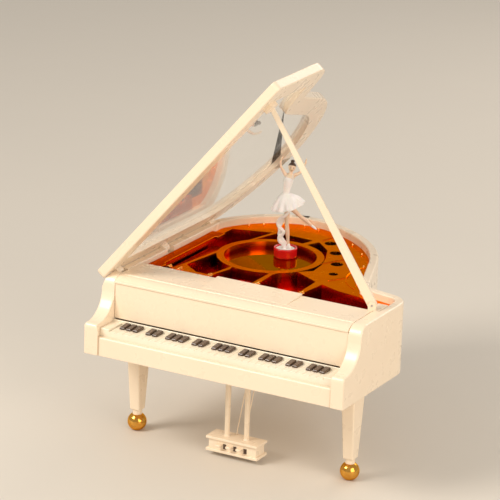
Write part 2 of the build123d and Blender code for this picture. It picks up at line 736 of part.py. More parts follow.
with BuildPart() as lyre:
    for bottom, size, height in (
        (LYRE_BOTTOM, LYRE_BOX, LYRE_PLATE),
        (LYRE_BOTTOM + LYRE_PLATE, (LYRE_BOX[0] - 2.4, LYRE_BOX[1] - 2.4), LYRE_TOP - LYRE_BOTTOM - 2 * LYRE_PLATE),
        (LYRE_TOP - LYRE_PLATE, LYRE_BOX, LYRE_PLATE),
    ):
        with BuildSketch(plan(bottom, 0, LYRE_Y)):
            RectangleRounded(*size, 0.5)
        extrude(amount=height)
    for x in (-COLUMN_X, COLUMN_X):
        with BuildSketch(plan(CASE_BOTTOM, x, LYRE_Y)):
            Circle(COLUMN_R[0])
        with BuildSketch(plan(LYRE_TOP, x, LYRE_Y)):
            Circle(COLUMN_R[1])
        loft()
    with BuildSketch(plan(LYRE_BOTTOM + 2.2, 0, LYRE_Y - LYRE_BOX[1] / 2 + 1.2)):
        with GridLocations(6.4, 0, 3, 1):
            Rectangle(PEDAL_W + 0.4, 5.0)
    extrude(amount=2.6, mode=Mode.SUBTRACT)

with BuildPart() as lyre_pedals:
    with BuildSketch(plan(LYRE_BOTTOM + 2.6, 0, LYRE_Y - LYRE_BOX[1] / 2 + 0.2)):
        with GridLocations(6.4, 0, 3, 1):
            Rectangle(PEDAL_W, 7.0)
    extrude(amount=1.1)

with BuildPart() as lyre_braces:
    for x in (-2.6, 2.6):
        foot = place(x, LYRE_Y + 4.2, LYRE_TOP - 1)
        top = place(x, LYRE_Y + 21, CASE_BOTTOM + 1)
        with BuildSketch(Plane(origin=foot, z_dir=top - foot)):
            Circle(ROD_R)
        extrude(amount=(top - foot).length)
    with BuildSketch(plan(LYRE_TOP)):
        Rectangle(400, 400)
    extrude(amount=-5, mode=Mode.SUBTRACT)
    with BuildSketch(plan(CASE_BOTTOM)):
        Rectangle(400, 400)
    extrude(amount=5, mode=Mode.SUBTRACT)

with BuildPart() as cover_screws:
    with BuildSketch(plan(CASE_BOTTOM + 0.1)):
        with Locations(*BOSS_AT):
            Circle(HEAD_R)
    extrude(amount=HEAD_H - 0.1)
    with BuildSketch(plan(CASE_BOTTOM + HEAD_H)):
        with Locations(*BOSS_AT):
            Circle(SCREW_R)
    extrude(amount=SCREW_IN)

with BuildPart() as plate_screws:
    for x, y in PLATE_SCREWS:
        with BuildSketch(plan(PLATE_TOP - 0.9, x, y)):
            Circle(PLATE_SCREW_R)
        extrude(amount=0.45)

# ---- movement -----------------------------------------------------------------------------------

BED_TOP = CASE_BOTTOM + COVER_T + BED_T
GEAR_Z = BED_TOP + 0.5
BARREL_TOP = GEAR_Z + BARREL_H
CROWN_Z = BARREL_TOP + BARREL_LID_T
CYLINDER_PITCH_R = CYLINDER_TEETH * CROWN_R / CROWN_TEETH
CYLINDER_Z = CROWN_Z + CROWN_H / 2 + CYLINDER_PITCH_R
CYLINDER_BACK = BARREL_AT[1] - 21.5
CYLINDER_FRONT = CYLINDER_BACK - CYLINDER_L + 2
BRIDGE_Z = GEAR_Z + GEAR_T + 2.2
PLANET_OFFSET = (SUN_TEETH + PLANET_TEETH) * SUN_MODULE / 2
ARM_Z = SUN_Z + GEAR_T + 0.4
MAGNET_TOP = MIRROR_TOP - MIRROR_T - 0.5
COMB_X = (BARREL_AT[0] + CYLINDER_R + 0.8, 9.0)

with BuildPart() as movement_bedplate:
    with BuildSketch(plan(CASE_BOTTOM + COVER_T)):
        with Locations((sum(BED[0]) / 2, sum(BED[1]) / 2)):
            RectangleRounded(BED[0][1] - BED[0][0], BED[1][1] - BED[1][0], 3)
        with Locations(BARREL_AT):
            Circle(ARBOR_R + RUNNING, mode=Mode.SUBTRACT)
        with Locations(ARM_AT):
            Circle(SHAFT_R + RUNNING, mode=Mode.SUBTRACT)
    extrude(amount=BED_T)

with BuildPart() as bed_screws:
    with BuildSketch(plan(BED_TOP)):
        with Locations(*BED_SCREWS):
            Circle(1.8)
    extrude(amount=0.9)

with BuildPart() as winding_arbor:
    with BuildSketch(plan(CASE_BOTTOM - KEY_DROP + 1, *BARREL_AT)):
        Circle(ARBOR_R)
    extrude(amount=CROWN_Z - CASE_BOTTOM + KEY_DROP - 0.5)

with BuildPart() as winding_key:
    with BuildSketch(plan(CASE_BOTTOM - KEY_DROP + 1, *BARREL_AT)):
        Circle(ARBOR_R + 1.4)
        Circle(ARBOR_R, mode=Mode.SUBTRACT)
    extrude(amount=KEY_DROP - 2)
    with BuildSketch(plan(CASE_BOTTOM - KEY_DROP - 1, *BARREL_AT)):
        RectangleRounded(19, 2.6, 1.2)
    extrude(amount=10)
    with BuildSketch(plan(CASE_BOTTOM - KEY_DROP + 1, *BARREL_AT)):
        Circle(ARBOR_R)
    extrude(amount=30, mode=Mode.SUBTRACT)

with BuildPart() as spring_barrel:
    with BuildSketch(plan(GEAR_Z, *BARREL_AT)):
        add(gear_sketch(BARREL_TEETH, MODULE, BARREL_BEARING + 180))
    extrude(amount=GEAR_T)
    with BuildSketch(plan(GEAR_Z + GEAR_T, *BARREL_AT)):
        Circle(BARREL_R)
        Circle(BARREL_R - BARREL_WALL, mode=Mode.SUBTRACT)
        Circle(BARREL_HUB)
    extrude(amount=BARREL_H - GEAR_T)
    with BuildSketch(plan(GEAR_Z - 1, *BARREL_AT)):
        Circle(ARBOR_R + RUNNING)
    extrude(amount=BARREL_H + 2, mode=Mode.SUBTRACT)

with BuildPart() as barrel_cover:
    with BuildSketch(plan(BARREL_TOP, *BARREL_AT)):
        Circle(BARREL_R)
        Circle(ARBOR_R + RUNNING, mode=Mode.SUBTRACT)
    extrude(amount=BARREL_LID_T)
    with BuildSketch(plan(CROWN_Z, *BARREL_AT)):
        with PolarLocations(CROWN_R, CROWN_TEETH, start_angle=-90 + 180 / CROWN_TEETH):
            Rectangle(CROWN_FACE, 0.62)
    extrude(amount=CROWN_H)

with BuildPart() as mainspring:
    with BuildSketch(plan(GEAR_Z + GEAR_T + 0.4, *BARREL_AT)):
        for turn in range(7):
            outer = BARREL_R - BARREL_WALL - 0.6 - turn * 1.35
            Circle(outer)
            Circle(outer - 0.5, mode=Mode.SUBTRACT)
        inner = BARREL_R - BARREL_WALL - 0.8 - 6 * 1.35
        with Locations(((inner + BARREL_R - BARREL_WALL - 0.8) / 2, 0)):
            Rectangle(BARREL_R - BARREL_WALL - 0.8 - inner, 0.5)
    extrude(amount=BARREL_H - GEAR_T - 0.8)

with BuildPart() as cylinder:
    with BuildSketch(front(CYLINDER_BACK)):
        with Locations((BARREL_AT[0], CYLINDER_Z)):
            Circle(CYLINDER_R)
            Circle(AXLE_R, mode=Mode.SUBTRACT)
    extrude(amount=CYLINDER_BACK - CYLINDER_FRONT)

with BuildPart() as cylinder_axle:
    with BuildSketch(front(BARREL_AT[1] - CROWN_R + 2)):
        with Locations((BARREL_AT[0], CYLINDER_Z)):
            Circle(AXLE_R)
    extrude(amount=BARREL_AT[1] - CROWN_R + 2 - CYLINDER_FRONT + 3.4)

with BuildPart() as cylinder_pinion:
    with BuildSketch(front(BARREL_AT[1] - CROWN_R + 1)):
        with Locations((BARREL_AT[0], CYLINDER_Z)):
            add(gear_sketch(CYLINDER_TEETH, 2 * CYLINDER_PITCH_R / CYLINDER_TEETH, -90, AXLE_R))
    extrude(amount=2)

with BuildPart() as cylinder_bearings:
    for y in (CYLINDER_BACK + 1.0 + BEARING_T, CYLINDER_FRONT - 1.0):
        with BuildSketch(front(y)):
            with Locations((BARREL_AT[0], (BED_TOP + CYLINDER_Z + 3) / 2)):
                Rectangle(8, CYLINDER_Z + 3 - BED_TOP)
            with Locations((BARREL_AT[0], CYLINDER_Z)):
                Circle(AXLE_R + RUNNING, mode=Mode.SUBTRACT)
        extrude(amount=BEARING_T)

with BuildPart() as comb:
    with BuildSketch(plan(CYLINDER_Z - COMB_T / 2)):
        with Locations((sum(COMB_X) / 2, (CYLINDER_FRONT + CYLINDER_BACK) / 2)):
            Rectangle(COMB_X[1] - COMB_X[0], CYLINDER_BACK - CYLINDER_FRONT - 1)
        pitch = (CYLINDER_BACK - CYLINDER_FRONT - 1) / COMB_TEETH
        for slot in range(1, COMB_TEETH):
            with Locations(((COMB_X[0] + COMB_ROOT) / 2, CYLINDER_FRONT + 0.5 + slot * pitch)):
                Rectangle(COMB_ROOT - COMB_X[0], 0.3, mode=Mode.SUBTRACT)
    extrude(amount=COMB_T)

comb_middle = ((COMB_ROOT + COMB_X[1]) / 2 + 0.5, (CYLINDER_FRONT + CYLINDER_BACK) / 2)
with BuildPart() as comb_base:
    with BuildSketch(plan(BED_TOP)):
        with Locations(comb_middle):
            Rectangle(COMB_X[1] - COMB_ROOT - 1, CYLINDER_BACK - CYLINDER_FRONT - 1)
    extrude(amount=CYLINDER_Z - COMB_T / 2 - BED_TOP)

with BuildPart() as comb_screws:
    with BuildSketch(plan(CYLINDER_Z + COMB_T / 2)):
        with Locations(comb_middle):
            with GridLocations(0, 9, 1, 2):
                Circle(1.5)
    extrude(amount=0.9)

with BuildPart() as governor_frame:
    with BuildSketch(front(GOVERNOR_AT[1] + 3)):
        for z, height in ((BED_TOP + 0.5, 1.0), (BED_TOP + 17.5, 1.2)):
            with Locations((GOVERNOR_AT[0] - 1.5, z)):
                Rectangle(9, height)
        with Locations((GOVERNOR_AT[0] - 5.4, BED_TOP + 9)):
            Rectangle(1.2, 18.0)
    extrude(amount=6)
    with BuildSketch(plan(BED_TOP, *GOVERNOR_AT)):
        Circle(0.6 + RUNNING)
    extrude(amount=30, mode=Mode.SUBTRACT)

with BuildPart() as governor_fly:
    with BuildSketch(plan(BED_TOP + 0.1, *GOVERNOR_AT)):
        Circle(0.6)
    extrude(amount=17.6)
    with BuildSketch(plan(BED_TOP + 3.0, *GOVERNOR_AT)):
        Circle(1.4)
    extrude(amount=6)
    with BuildSketch(plan(BED_TOP + 10.0, *GOVERNOR_AT)):
        Rectangle(2 * FLY_R, 0.5)
    extrude(amount=5.5)

with BuildPart() as takeoff_bridge:
    with BuildSketch(plan(BRIDGE_Z, ARM_AT[0], ARM_AT[1] + 1)):
        RectangleRounded(26, 9, 2)
        with Locations((0, -1)):
            Circle(SHAFT_R + RUNNING, mode=Mode.SUBTRACT)
    extrude(amount=BRIDGE_T)
    with BuildSketch(plan(BED_TOP, ARM_AT[0], ARM_AT[1] + 1)):
        with GridLocations(2 * POST_X, 0, 2, 1):
            Circle(2.0)
    extrude(amount=BRIDGE_Z - BED_TOP)

with BuildPart() as sun_gear:
    with BuildSketch(plan(BRIDGE_Z + BRIDGE_T, *ARM_AT)):
        Circle(SUN_TUBE_R)
    extrude(amount=SUN_Z - BRIDGE_Z - BRIDGE_T)
    with BuildSketch(plan(SUN_Z, *ARM_AT)):
        add(gear_sketch(SUN_TEETH, SUN_MODULE, 0))
    extrude(amount=GEAR_T)
    with BuildSketch(plan(BRIDGE_Z, *ARM_AT)):
        Circle(SHAFT_R + RUNNING)
    extrude(amount=30, mode=Mode.SUBTRACT)

toward = Vector(DANCER_AT[0] - ARM_AT[0], DANCER_AT[1] - ARM_AT[1], 0).normalized()
bearing = Vector(1, 0, 0).get_signed_angle(toward, Vector(0, 0, 1))
PLANET_AT = (ARM_AT[0] + toward.X * PLANET_OFFSET, ARM_AT[1] + toward.Y * PLANET_OFFSET)
sun_step = 360 / SUN_TEETH
planet_step = 360 / PLANET_TEETH
sun_phase = (bearing % sun_step) / sun_step
planet_phase = bearing + 180 + planet_step * (0.5 + sun_phase)

with BuildPart() as arm_shaft:
    with BuildSketch(plan(CASE_BOTTOM + COVER_T + 0.1, *ARM_AT)):
        Circle(SHAFT_R)
    extrude(amount=ARM_Z + ARM_T - CASE_BOTTOM - COVER_T)

with BuildPart() as arm_pinion:
    with BuildSketch(plan(GEAR_Z, *ARM_AT)):
        add(gear_sketch(PINION_TEETH, MODULE, BARREL_BEARING + 180 / PINION_TEETH, SHAFT_R))
    extrude(amount=GEAR_T)

with BuildPart() as magnet_arm:
    with BuildSketch(plan(ARM_Z, *ARM_AT)):
        with Locations((toward.X * PLANET_OFFSET / 2, toward.Y * PLANET_OFFSET / 2)):
            SlotCenterToCenter(PLANET_OFFSET, 6.0, rotation=bearing)
        Circle(SHAFT_R, mode=Mode.SUBTRACT)
        with Locations((toward.X * PLANET_OFFSET, toward.Y * PLANET_OFFSET)):
            Circle(PLANET_PIN_R + RUNNING, mode=Mode.SUBTRACT)
    extrude(amount=ARM_T)

with BuildPart() as planet_gear:
    with BuildSketch(plan(SUN_Z, *PLANET_AT)):
        add(gear_sketch(PLANET_TEETH, SUN_MODULE, planet_phase))
    extrude(amount=GEAR_T)
    with BuildSketch(plan(SUN_Z + GEAR_T, *PLANET_AT)):
        Circle(PLANET_PIN_R)
    extrude(amount=ARM_Z + ARM_T + 0.3 - SUN_Z - GEAR_T)

with BuildPart() as drive_magnet:
    with BuildSketch(plan(ARM_Z + ARM_T + 0.3, *PLANET_AT)):
        Circle(MAGNET_R)
    extrude(amount=MAGNET_TOP - ARM_Z - ARM_T - 0.3)

# ---- dancer -------------------------------------------------------------------------------------

CUP_Z = MIRROR_TOP + CUP_GAP
DISC_R = CUP_R - CUP_WALL
FIGURE_Z = CUP_Z + CUP_FLOOR + CUP_MAGNET_H + DISC_H
across = Vector(cos(radians(DANCER_TURN)), sin(radians(DANCER_TURN)), 0)


def figure_at(s, z, deep=0.0):
    """A point of the figure: s across, z up from the floor, deep away from the viewer."""
    return place(*PLANET_AT, z) + across * s + Vector(0, 0, 1).cross(across) * deep


with BuildPart() as dancer_cup:
    with BuildSketch(plan(CUP_Z, *PLANET_AT)):
        Circle(CUP_R)
    extrude(amount=CUP_H)
    with BuildSketch(plan(CUP_Z + CUP_FLOOR, *PLANET_AT)):
        Circle(DISC_R)
    extrude(amount=CUP_H, mode=Mode.SUBTRACT)

with BuildPart() as cup_magnet:
    with BuildSketch(plan(CUP_Z + CUP_FLOOR, *PLANET_AT)):
        Circle(DISC_R - FIT)
    extrude(amount=CUP_MAGNET_H)

with BuildPart() as cup_disc:
    with BuildSketch(plan(CUP_Z + CUP_FLOOR + CUP_MAGNET_H, *PLANET_AT)):
        Circle(DISC_R - RUNNING)
    extrude(amount=DISC_H)

# Each limb is a run of joints: across, height, radius.
LIMBS = {
    "standing leg": [(2.0, FIGURE_Z, 1.2), (1.4, 95.5, 0.8), (0.6, 101.5, 1.25), (0.2, 106.0, 1.05), (0.0, 117.0, 1.8)],
    "raised leg": [(1.0, 117.0, 1.7), (7.0, 111.3, 1.15), (10.0, 108.9, 1.1), (13.4, 105.9, 0.7), (16.3, 103.9, 0.5)],
    "body": [(-0.6, 120.0, 3.0), (-0.8, 125.0, 2.0), (0.0, 131.5, 2.7), (0.8, 135.2, 2.2), (1.3, 138.5, 0.95)],
    "left arm": [(-1.6, 135.0, 1.1), (-4.3, 140.0, 0.8), (-4.2, 143.2, 0.65), (-3.4, 146.2, 0.45)],
    "right arm": [(3.2, 135.0, 1.1), (7.0, 137.6, 0.8), (9.0, 141.6, 0.65), (9.6, 145.6, 0.45)],
    "ribbon": [(0.6, 112.5, 0.8), (-2.6, 110.2, 0.9), (-4.4, 106.4, 0.9), (-1.4, 102.8, 0.9), (-3.4, 99.4, 0.9),
               (-0.6, FIGURE_Z, 1.0)],
}
HEAD = (1.9, 140.2, 2.4)
SKIRT = (0.4, 118.8, 9.6, 15.0)

with BuildPart() as dancer:
    for joints in LIMBS.values():
        for (s0, z0, r0), (s1, z1, r1) in zip(joints, joints[1:]):
            lower, upper = figure_at(s0, z0), figure_at(s1, z1)
            with BuildSketch(Plane(origin=lower, z_dir=upper - lower)):
                Circle(r0)
            with BuildSketch(Plane(origin=upper, z_dir=upper - lower)):
                Circle(r1)
            loft()
        for s, z, radius in joints[1:]:
            with Locations(figure_at(s, z)):
                Sphere(radius)
    with Locations(figure_at(HEAD[0], HEAD[1])):
        Sphere(HEAD[2])
    tilt = radians(SKIRT[3])
    hem = Plane(origin=figure_at(SKIRT[0], SKIRT[1]), x_dir=across * cos(tilt) + Vector(0, 0, sin(tilt)),
                z_dir=Vector(0, 0, cos(tilt)) - across * sin(tilt))
    with BuildSketch(hem):
        Circle(SKIRT[2])
    with BuildSketch(hem.offset(1.0)):
        Circle(SKIRT[2] - 0.6)
    loft()
    with BuildSketch(hem.offset(1.0)):
        Circle(SKIRT[2] - 0.6)
    with BuildSketch(Plane(origin=figure_at(-0.8, 125.0))):
        Circle(2.0)
    loft()
    with BuildSketch(plan(FIGURE_Z)):
        Rectangle(400, 400)
    extrude(amount=-10, mode=Mode.SUBTRACT)

# ---- files --------------------------------------------------------------------------------------

pieces = {
    "case_shell": case_shell,
    "bottom_cover": bottom_cover,
    "key_slip": key_slip,
    "keyboard": keyboard,
    "black_keys": black_keys,
    "front_panel": front_panel,
    "top_deck": top_deck,
    "music_desk": music_desk,
    "gold_plate": gold_plate,
    "mirror": mirror,
    "hitch_pins": hitch_pins,
    "plate_screws": plate_screws,
    "lid_frame": lid_frame,
    "lid_pane": lid_pane,
    "hinge_pins": hinge_pins,
    "lid_prop": lid_prop,
    "prop_bracket": prop_bracket,
    "prop_pin": prop_pin,
    "lyre": lyre,
    "lyre_pedals": lyre_pedals,
    "lyre_braces": lyre_braces,
    "cover_screws": cover_screws,
    "movement_bedplate": movement_bedplate,
    "bed_screws": bed_screws,
    "winding_arbor": winding_arbor,
    "winding_key": winding_key,
    "spring_barrel": spring_barrel,
    "barrel_cover": barrel_cover,
    "mainspring": mainspring,
    "cylinder": cylinder,
    "cylinder_axle": cylinder_axle,
    "cylinder_pinion": cylinder_pinion,
    "cylinder_bearings": cylinder_bearings,
    "comb": comb,
    "comb_base": comb_base,
    "comb_screws": comb_screws,
    "governor_frame": governor_frame,
    "governor_fly": governor_fly,
    "takeoff_bridge": takeoff_bridge,
    "sun_gear": sun_gear,
    "arm_shaft": arm_shaft,
    "arm_pinion": arm_pinion,
    "magnet_arm": magnet_arm,
    "planet_gear": planet_gear,
    "drive_magnet": drive_magnet,
    "dancer_cup": dancer_cup,
    "cup_magnet": cup_magnet,
    "cup_disc": cup_disc,
    "dancer": dancer,
    **leg_parts,
}
for name, piece in pieces.items():
    piece.part.label = name
    export_step(piece.part, f"parts/{name}.step")
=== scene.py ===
"""Looks of a miniature grand piano musical box: ivory plastic, a gold-plated sound plate and a dancer.

Shapes are worked out in millimetres in the case's own places: x across from the middle of the case,
y back from the fronts of its arms, z up from the floor. put() moves them into the frame, in metres.
"""

import json
import math

import bmesh
import bpy
import numpy as np
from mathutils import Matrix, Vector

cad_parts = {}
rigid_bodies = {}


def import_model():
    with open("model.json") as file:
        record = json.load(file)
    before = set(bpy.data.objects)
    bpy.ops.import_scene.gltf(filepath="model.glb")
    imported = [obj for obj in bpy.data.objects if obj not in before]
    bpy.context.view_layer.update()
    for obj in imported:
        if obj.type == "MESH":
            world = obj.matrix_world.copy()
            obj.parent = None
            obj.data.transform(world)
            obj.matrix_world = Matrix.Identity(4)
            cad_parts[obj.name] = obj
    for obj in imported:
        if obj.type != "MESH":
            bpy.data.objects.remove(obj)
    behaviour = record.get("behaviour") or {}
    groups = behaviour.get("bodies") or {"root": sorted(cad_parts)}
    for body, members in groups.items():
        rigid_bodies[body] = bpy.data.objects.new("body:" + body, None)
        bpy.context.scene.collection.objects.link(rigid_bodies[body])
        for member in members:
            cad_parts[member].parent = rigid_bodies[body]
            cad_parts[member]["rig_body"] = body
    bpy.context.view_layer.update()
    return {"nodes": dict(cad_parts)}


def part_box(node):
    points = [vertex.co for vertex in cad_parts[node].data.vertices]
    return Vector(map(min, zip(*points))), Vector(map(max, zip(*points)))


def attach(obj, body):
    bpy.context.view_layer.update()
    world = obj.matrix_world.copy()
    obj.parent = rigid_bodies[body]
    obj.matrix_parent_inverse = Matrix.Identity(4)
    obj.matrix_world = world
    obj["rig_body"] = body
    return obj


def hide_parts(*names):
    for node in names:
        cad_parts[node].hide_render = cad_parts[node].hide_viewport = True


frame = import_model()
nodes = frame["nodes"]
MM = 0.001


def span(node):
    """A CAD node's lowest and highest corners, in millimetres in the frame."""
    return [np.array(corner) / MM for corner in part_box(node)]


case_low, case_high = span("case_shell")
HALF = (case_high[0] - case_low[0]) / 2
HOME = np.array([(case_low[0] + case_high[0]) / 2, case_low[1], 0.0])
BOTTOM, TOP = case_low[2], case_high[2]

# Case
CORNERS = ((HALF, 0), (HALF, 75.8), (51.8, 82.4), (24.9, 156.4), (-26.3, 179.7), (-HALF, 168.5), (-HALF, 0))
RADII = (0.8, 12.2, 4.0, 83.1, 49.7, 57.4, 0.8)
WALL = 5.0
ARM_W = 8.0
ARM_TOP = 72.2
DECK_BACK = 47.5
HINGE_X = -76.0
HINGE_Z = 93.7
HINGE_Y = (29.8, 80.2, 134.5)
HINGE_W = 6.0
NOTCH = 3.7
RIM_EDGE = 1.1
LEAN_FROM = 87.6

# Lid
OPEN = math.radians(49.8)
LID_GROW = 1.9
LID_SHIFT = 1.6
LID_T = 5.6
LID_FRONT = 18.8
LID_BAR = 14.0
FRONT_BAR = 11.5
LEDGE = 2.0
SEAT = 2.8
LUG_R = 1.9
LID_ARM = -HALF - LID_GROW + LID_SHIFT - HINGE_X
LID_X = HINGE_X + LID_ARM * math.cos(OPEN) - LUG_R * math.sin(OPEN)
LID_Z = HINGE_Z + LID_ARM * math.sin(OPEN) + LUG_R * math.cos(OPEN)
PROP_FOOT = np.array([70.7, 49.0, 98.1])
PROP_TIP = np.array([16.6, 29.0, 202.0])

# Keys
KEY_TOP = 68.6
KEY_FRONT, KEY_BACK = 3.6, 18.4
BETWEEN = 2 * (HALF - ARM_W) - 0.2
KEYS_W = BETWEEN - 12.0
WHITE_KEYS = 32
KEY_PITCH = KEYS_W / WHITE_KEYS
BLACK_GROUPS = (3, 2, 3, 2, 3, 2, 3, 2, 3)
BLACK_Y = 9.9
BLACK_BACK = 17.3
BLACK_HALF = 1.5
BLACK_TOP = 70.3

# Plate
PLATE_TOP = 91.0
POCKET_FLOOR = 85.0

# Legs
FOOT_R = 5.4
FOOT_Z = 4.9
LEG_END = 12.2
HOLE_FACING = {"left": (-0.02, -0.93, -0.36), "right": (0.97, 0.15, -0.17), "tail": (0.80, -0.50, -0.30)}

# Dancer
TURN = math.radians(28.0)
HEAD_S, HEAD_Z = 1.9, 140.1
HEAD_W, HEAD_D, HEAD_H = 2.12, 2.3, 2.75
HEAD_TILT = math.radians(-8)


# ---- surfaces -----------------------------------------------------------------------------------


def quads(rows, columns, wrap_rows=False, wrap_columns=False):
    """The faces of a grid of points: each joins a point to its neighbours in the next row and column."""
    i = np.arange(rows if wrap_rows else rows - 1)[:, None]
    j = np.arange(columns if wrap_columns else columns - 1)[None, :]
    i2, j2 = (i + 1) % rows, (j + 1) % columns
    corners = np.broadcast_arrays(i * columns + j, i * columns + j2, i2 * columns + j2, i2 * columns + j)
    return np.stack(corners, -1).reshape(-1, 4)


def skin(grid, wrap_rows=False, finish=0):
    """A patch from a grid whose columns close round: its rows close too, or its end rows get flat caps."""
    rows, columns = grid.shape[:2]
    faces = [quads(rows, columns, wrap_rows, True)]
    if not wrap_rows:
        ring = np.arange(columns)
        faces += [ring[None, ::-1], ring[None, :] + (rows - 1) * columns]
    return grid.reshape(-1, 3), faces, finish


def moved(patch, offset):
    """The patch, shifted."""
    return patch[0] + np.asarray(offset, float), patch[1], patch[2]


def turned(patch, origin, x_axis, y_axis, z_axis):
    """The patch with its own x, y and z laid along three axes from an origin."""
    axes = np.array([x_axis, y_axis, z_axis], float)
    return np.asarray(origin, float) + patch[0] @ axes, patch[1], patch[2]


def put(name, patches, materials, body, stands_for=(), crease=38.0):
    """One mesh from patches, in the frame and in metres. It rides on a body and stands for CAD nodes."""
    starts = np.cumsum([0] + [len(p[0]) for p in patches])
    points = (np.concatenate([p[0] for p in patches]) + HOME) * MM
    faces = [(f + s, p[2]) for p, s in zip(patches, starts) for f in p[1]]
    loops = np.concatenate([f.ravel() for f, _ in faces])
    sizes = np.concatenate([np.full(len(f), f.shape[1]) for f, _ in faces])
    mesh = bpy.data.meshes.new(name)
    mesh.vertices.add(len(points))
    mesh.vertices.foreach_set("co", points.ravel())
    mesh.loops.add(len(loops))
    mesh.loops.foreach_set("vertex_index", loops.astype(np.int32))
    mesh.polygons.add(len(sizes))
    mesh.polygons.foreach_set("loop_start", np.concatenate([[0], np.cumsum(sizes)[:-1]]).astype(np.int32))
    numbers = np.concatenate([np.full(len(f), number) for f, number in faces])
    mesh.polygons.foreach_set("material_index", numbers.astype(np.int32))
    mesh.update(calc_edges=True)
    mesh.validate()
    for m in materials:
        mesh.materials.append(m)
    piece = bpy.data.objects.new(name, mesh)
    bpy.context.scene.collection.objects.link(piece)
    close_up(mesh, crease)
    even = piece.modifiers.new("normals", "WEIGHTED_NORMAL")
    even.keep_sharp = True
    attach(piece, body)
    if stands_for:
        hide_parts(*stands_for)
    return piece


def close_up(mesh, crease):
    """Merges doubled points, turns faces outwards, and shades smooth up to the crease angle."""
    work = bmesh.new()
    work.from_mesh(mesh)
    bmesh.ops.remove_doubles(work, verts=work.verts, dist=2e-6)
    bmesh.ops.dissolve_degenerate(work, edges=work.edges, dist=1e-6)
    bmesh.ops.recalc_face_normals(work, faces=work.faces)
    work.to_mesh(mesh)
    work.free()
    mesh.polygons.foreach_set("use_smooth", np.ones(len(mesh.polygons), bool))
    mesh.set_sharp_from_angle(angle=math.radians(crease))


def softened(name, node, material, width, segments=2):
    """A CAD node's own shape with merged points and rounded edges."""
    mesh = nodes[node].data.copy()
    work = bmesh.new()
    work.from_mesh(mesh)
    bmesh.ops.remove_doubles(work, verts=work.verts, dist=5e-6)
    bmesh.ops.dissolve_limit(work, angle_limit=math.radians(0.6), verts=work.verts, edges=work.edges)
    bmesh.ops.recalc_face_normals(work, faces=work.faces)
    work.to_mesh(mesh)
    work.free()
    mesh.materials.clear()
    mesh.materials.append(material)
    piece = bpy.data.objects.new(name, mesh)
    bpy.context.scene.collection.objects.link(piece)
    mesh.polygons.foreach_set("use_smooth", np.ones(len(mesh.polygons), bool))
    mesh.set_sharp_from_angle(angle=math.radians(28))
    bevel = piece.modifiers.new("edges", "BEVEL")
    bevel.width = width * MM
    bevel.segments = segments
    bevel.limit_method = "ANGLE"
    bevel.angle_limit = math.radians(35)
    bevel.use_clamp_overlap = True
    bevel.harden_normals = True
    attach(piece, nodes[node]["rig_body"])
    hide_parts(node)
    return piece


def outline(corners, radii, insets, arc_steps):
    """A closed outline: each edge is moved in by its inset, then each corner is rounded.

    A corner's radius is less by the inset where the outline turns left, and more by it where it turns
    right, so that outlines at different insets run side by side, point for point.
    """
    c = np.array(corners, float)
    way = np.roll(c, -1, 0) - c
    way /= np.linalg.norm(way, axis=1)[:, None]
    inward = np.stack([-way[:, 1], way[:, 0]], 1)
    before, n_before, d_before = np.roll(way, 1, 0), np.roll(inward, 1, 0), np.roll(insets, 1)
    cross = n_before[:, 0] * inward[:, 1] - n_before[:, 1] * inward[:, 0]
    shift = np.stack([
        (d_before * inward[:, 1] - insets * n_before[:, 1]) / cross,
        (insets * n_before[:, 0] - d_before * inward[:, 0]) / cross,
    ], 1)
    corner = c + shift
    bend = np.arctan2(before[:, 0] * way[:, 1] - before[:, 1] * way[:, 0], (before * way).sum(1))
    side = np.sign(bend)
    radius = np.maximum(np.array(radii) - side * np.minimum(insets, d_before), 0.3)
    start = corner - before * (radius * np.tan(np.abs(bend) / 2))[:, None]
    middle = start + n_before * (side * radius)[:, None]
    arcs = []
    for k, steps in enumerate(arc_steps):
        a = np.linspace(0, bend[k], steps)[:, None]
        spoke = start[k] - middle[k]
        arcs.append(middle[k] + np.cos(a) * spoke + np.sin(a) * np.array([-spoke[1], spoke[0]]))
    return arcs


def fan(steps=4):
    """Pairs (in, up) of a quarter circle, from the side (0, 0) to the top (1, 1)."""
    a = np.linspace(0, math.pi / 2, steps + 1)
    return list(zip(1 - np.cos(a), np.sin(a)))


def slab(ring, low, high, edge, steps=3):
    """A solid between two heights. Its outline draws in on a quarter circle at top and bottom."""
    rows = [(edge * i, low + edge * (1 - u)) for i, u in fan(steps)][::-1]
    rows += [(edge * i, high - edge * (1 - u)) for i, u in fan(steps)]
    levels = [np.column_stack([ring(inset), np.full(len(ring(inset)), z)]) for inset, z in rows]
    return skin(np.array(levels))


def rectangle(width, depth, corner=0.6, steps=4):
    """A rounded rectangle's outline about the origin, as a function of its inset."""
    w, d = width / 2, depth / 2
    corners = ((w, -d), (w, d), (-w, d), (-w, -d))
    return lambda inset: np.concatenate(outline(corners, [corner] * 4, np.full(4, float(inset)), [steps] * 4))


def disc(radius, steps=40):
    """A circle's outline about the origin, as a function of its inset."""
    a = np.linspace(0, 2 * math.pi, steps, endpoint=False)
    return lambda inset: (radius - inset) * np.stack([np.cos(a), np.sin(a)], 1)


def revolve(profile, steps=48, finish=0):
    """A profile of (radius, height) turned about the z axis, with flat caps on its ends."""
    p = np.array(profile, float)
    a = np.linspace(0, 2 * math.pi, steps, endpoint=False)
    grid = np.stack([p[:, :1] * np.cos(a), p[:, :1] * np.sin(a), np.repeat(p[:, 1:], steps, 1)], -1)
    return skin(grid, finish=finish)


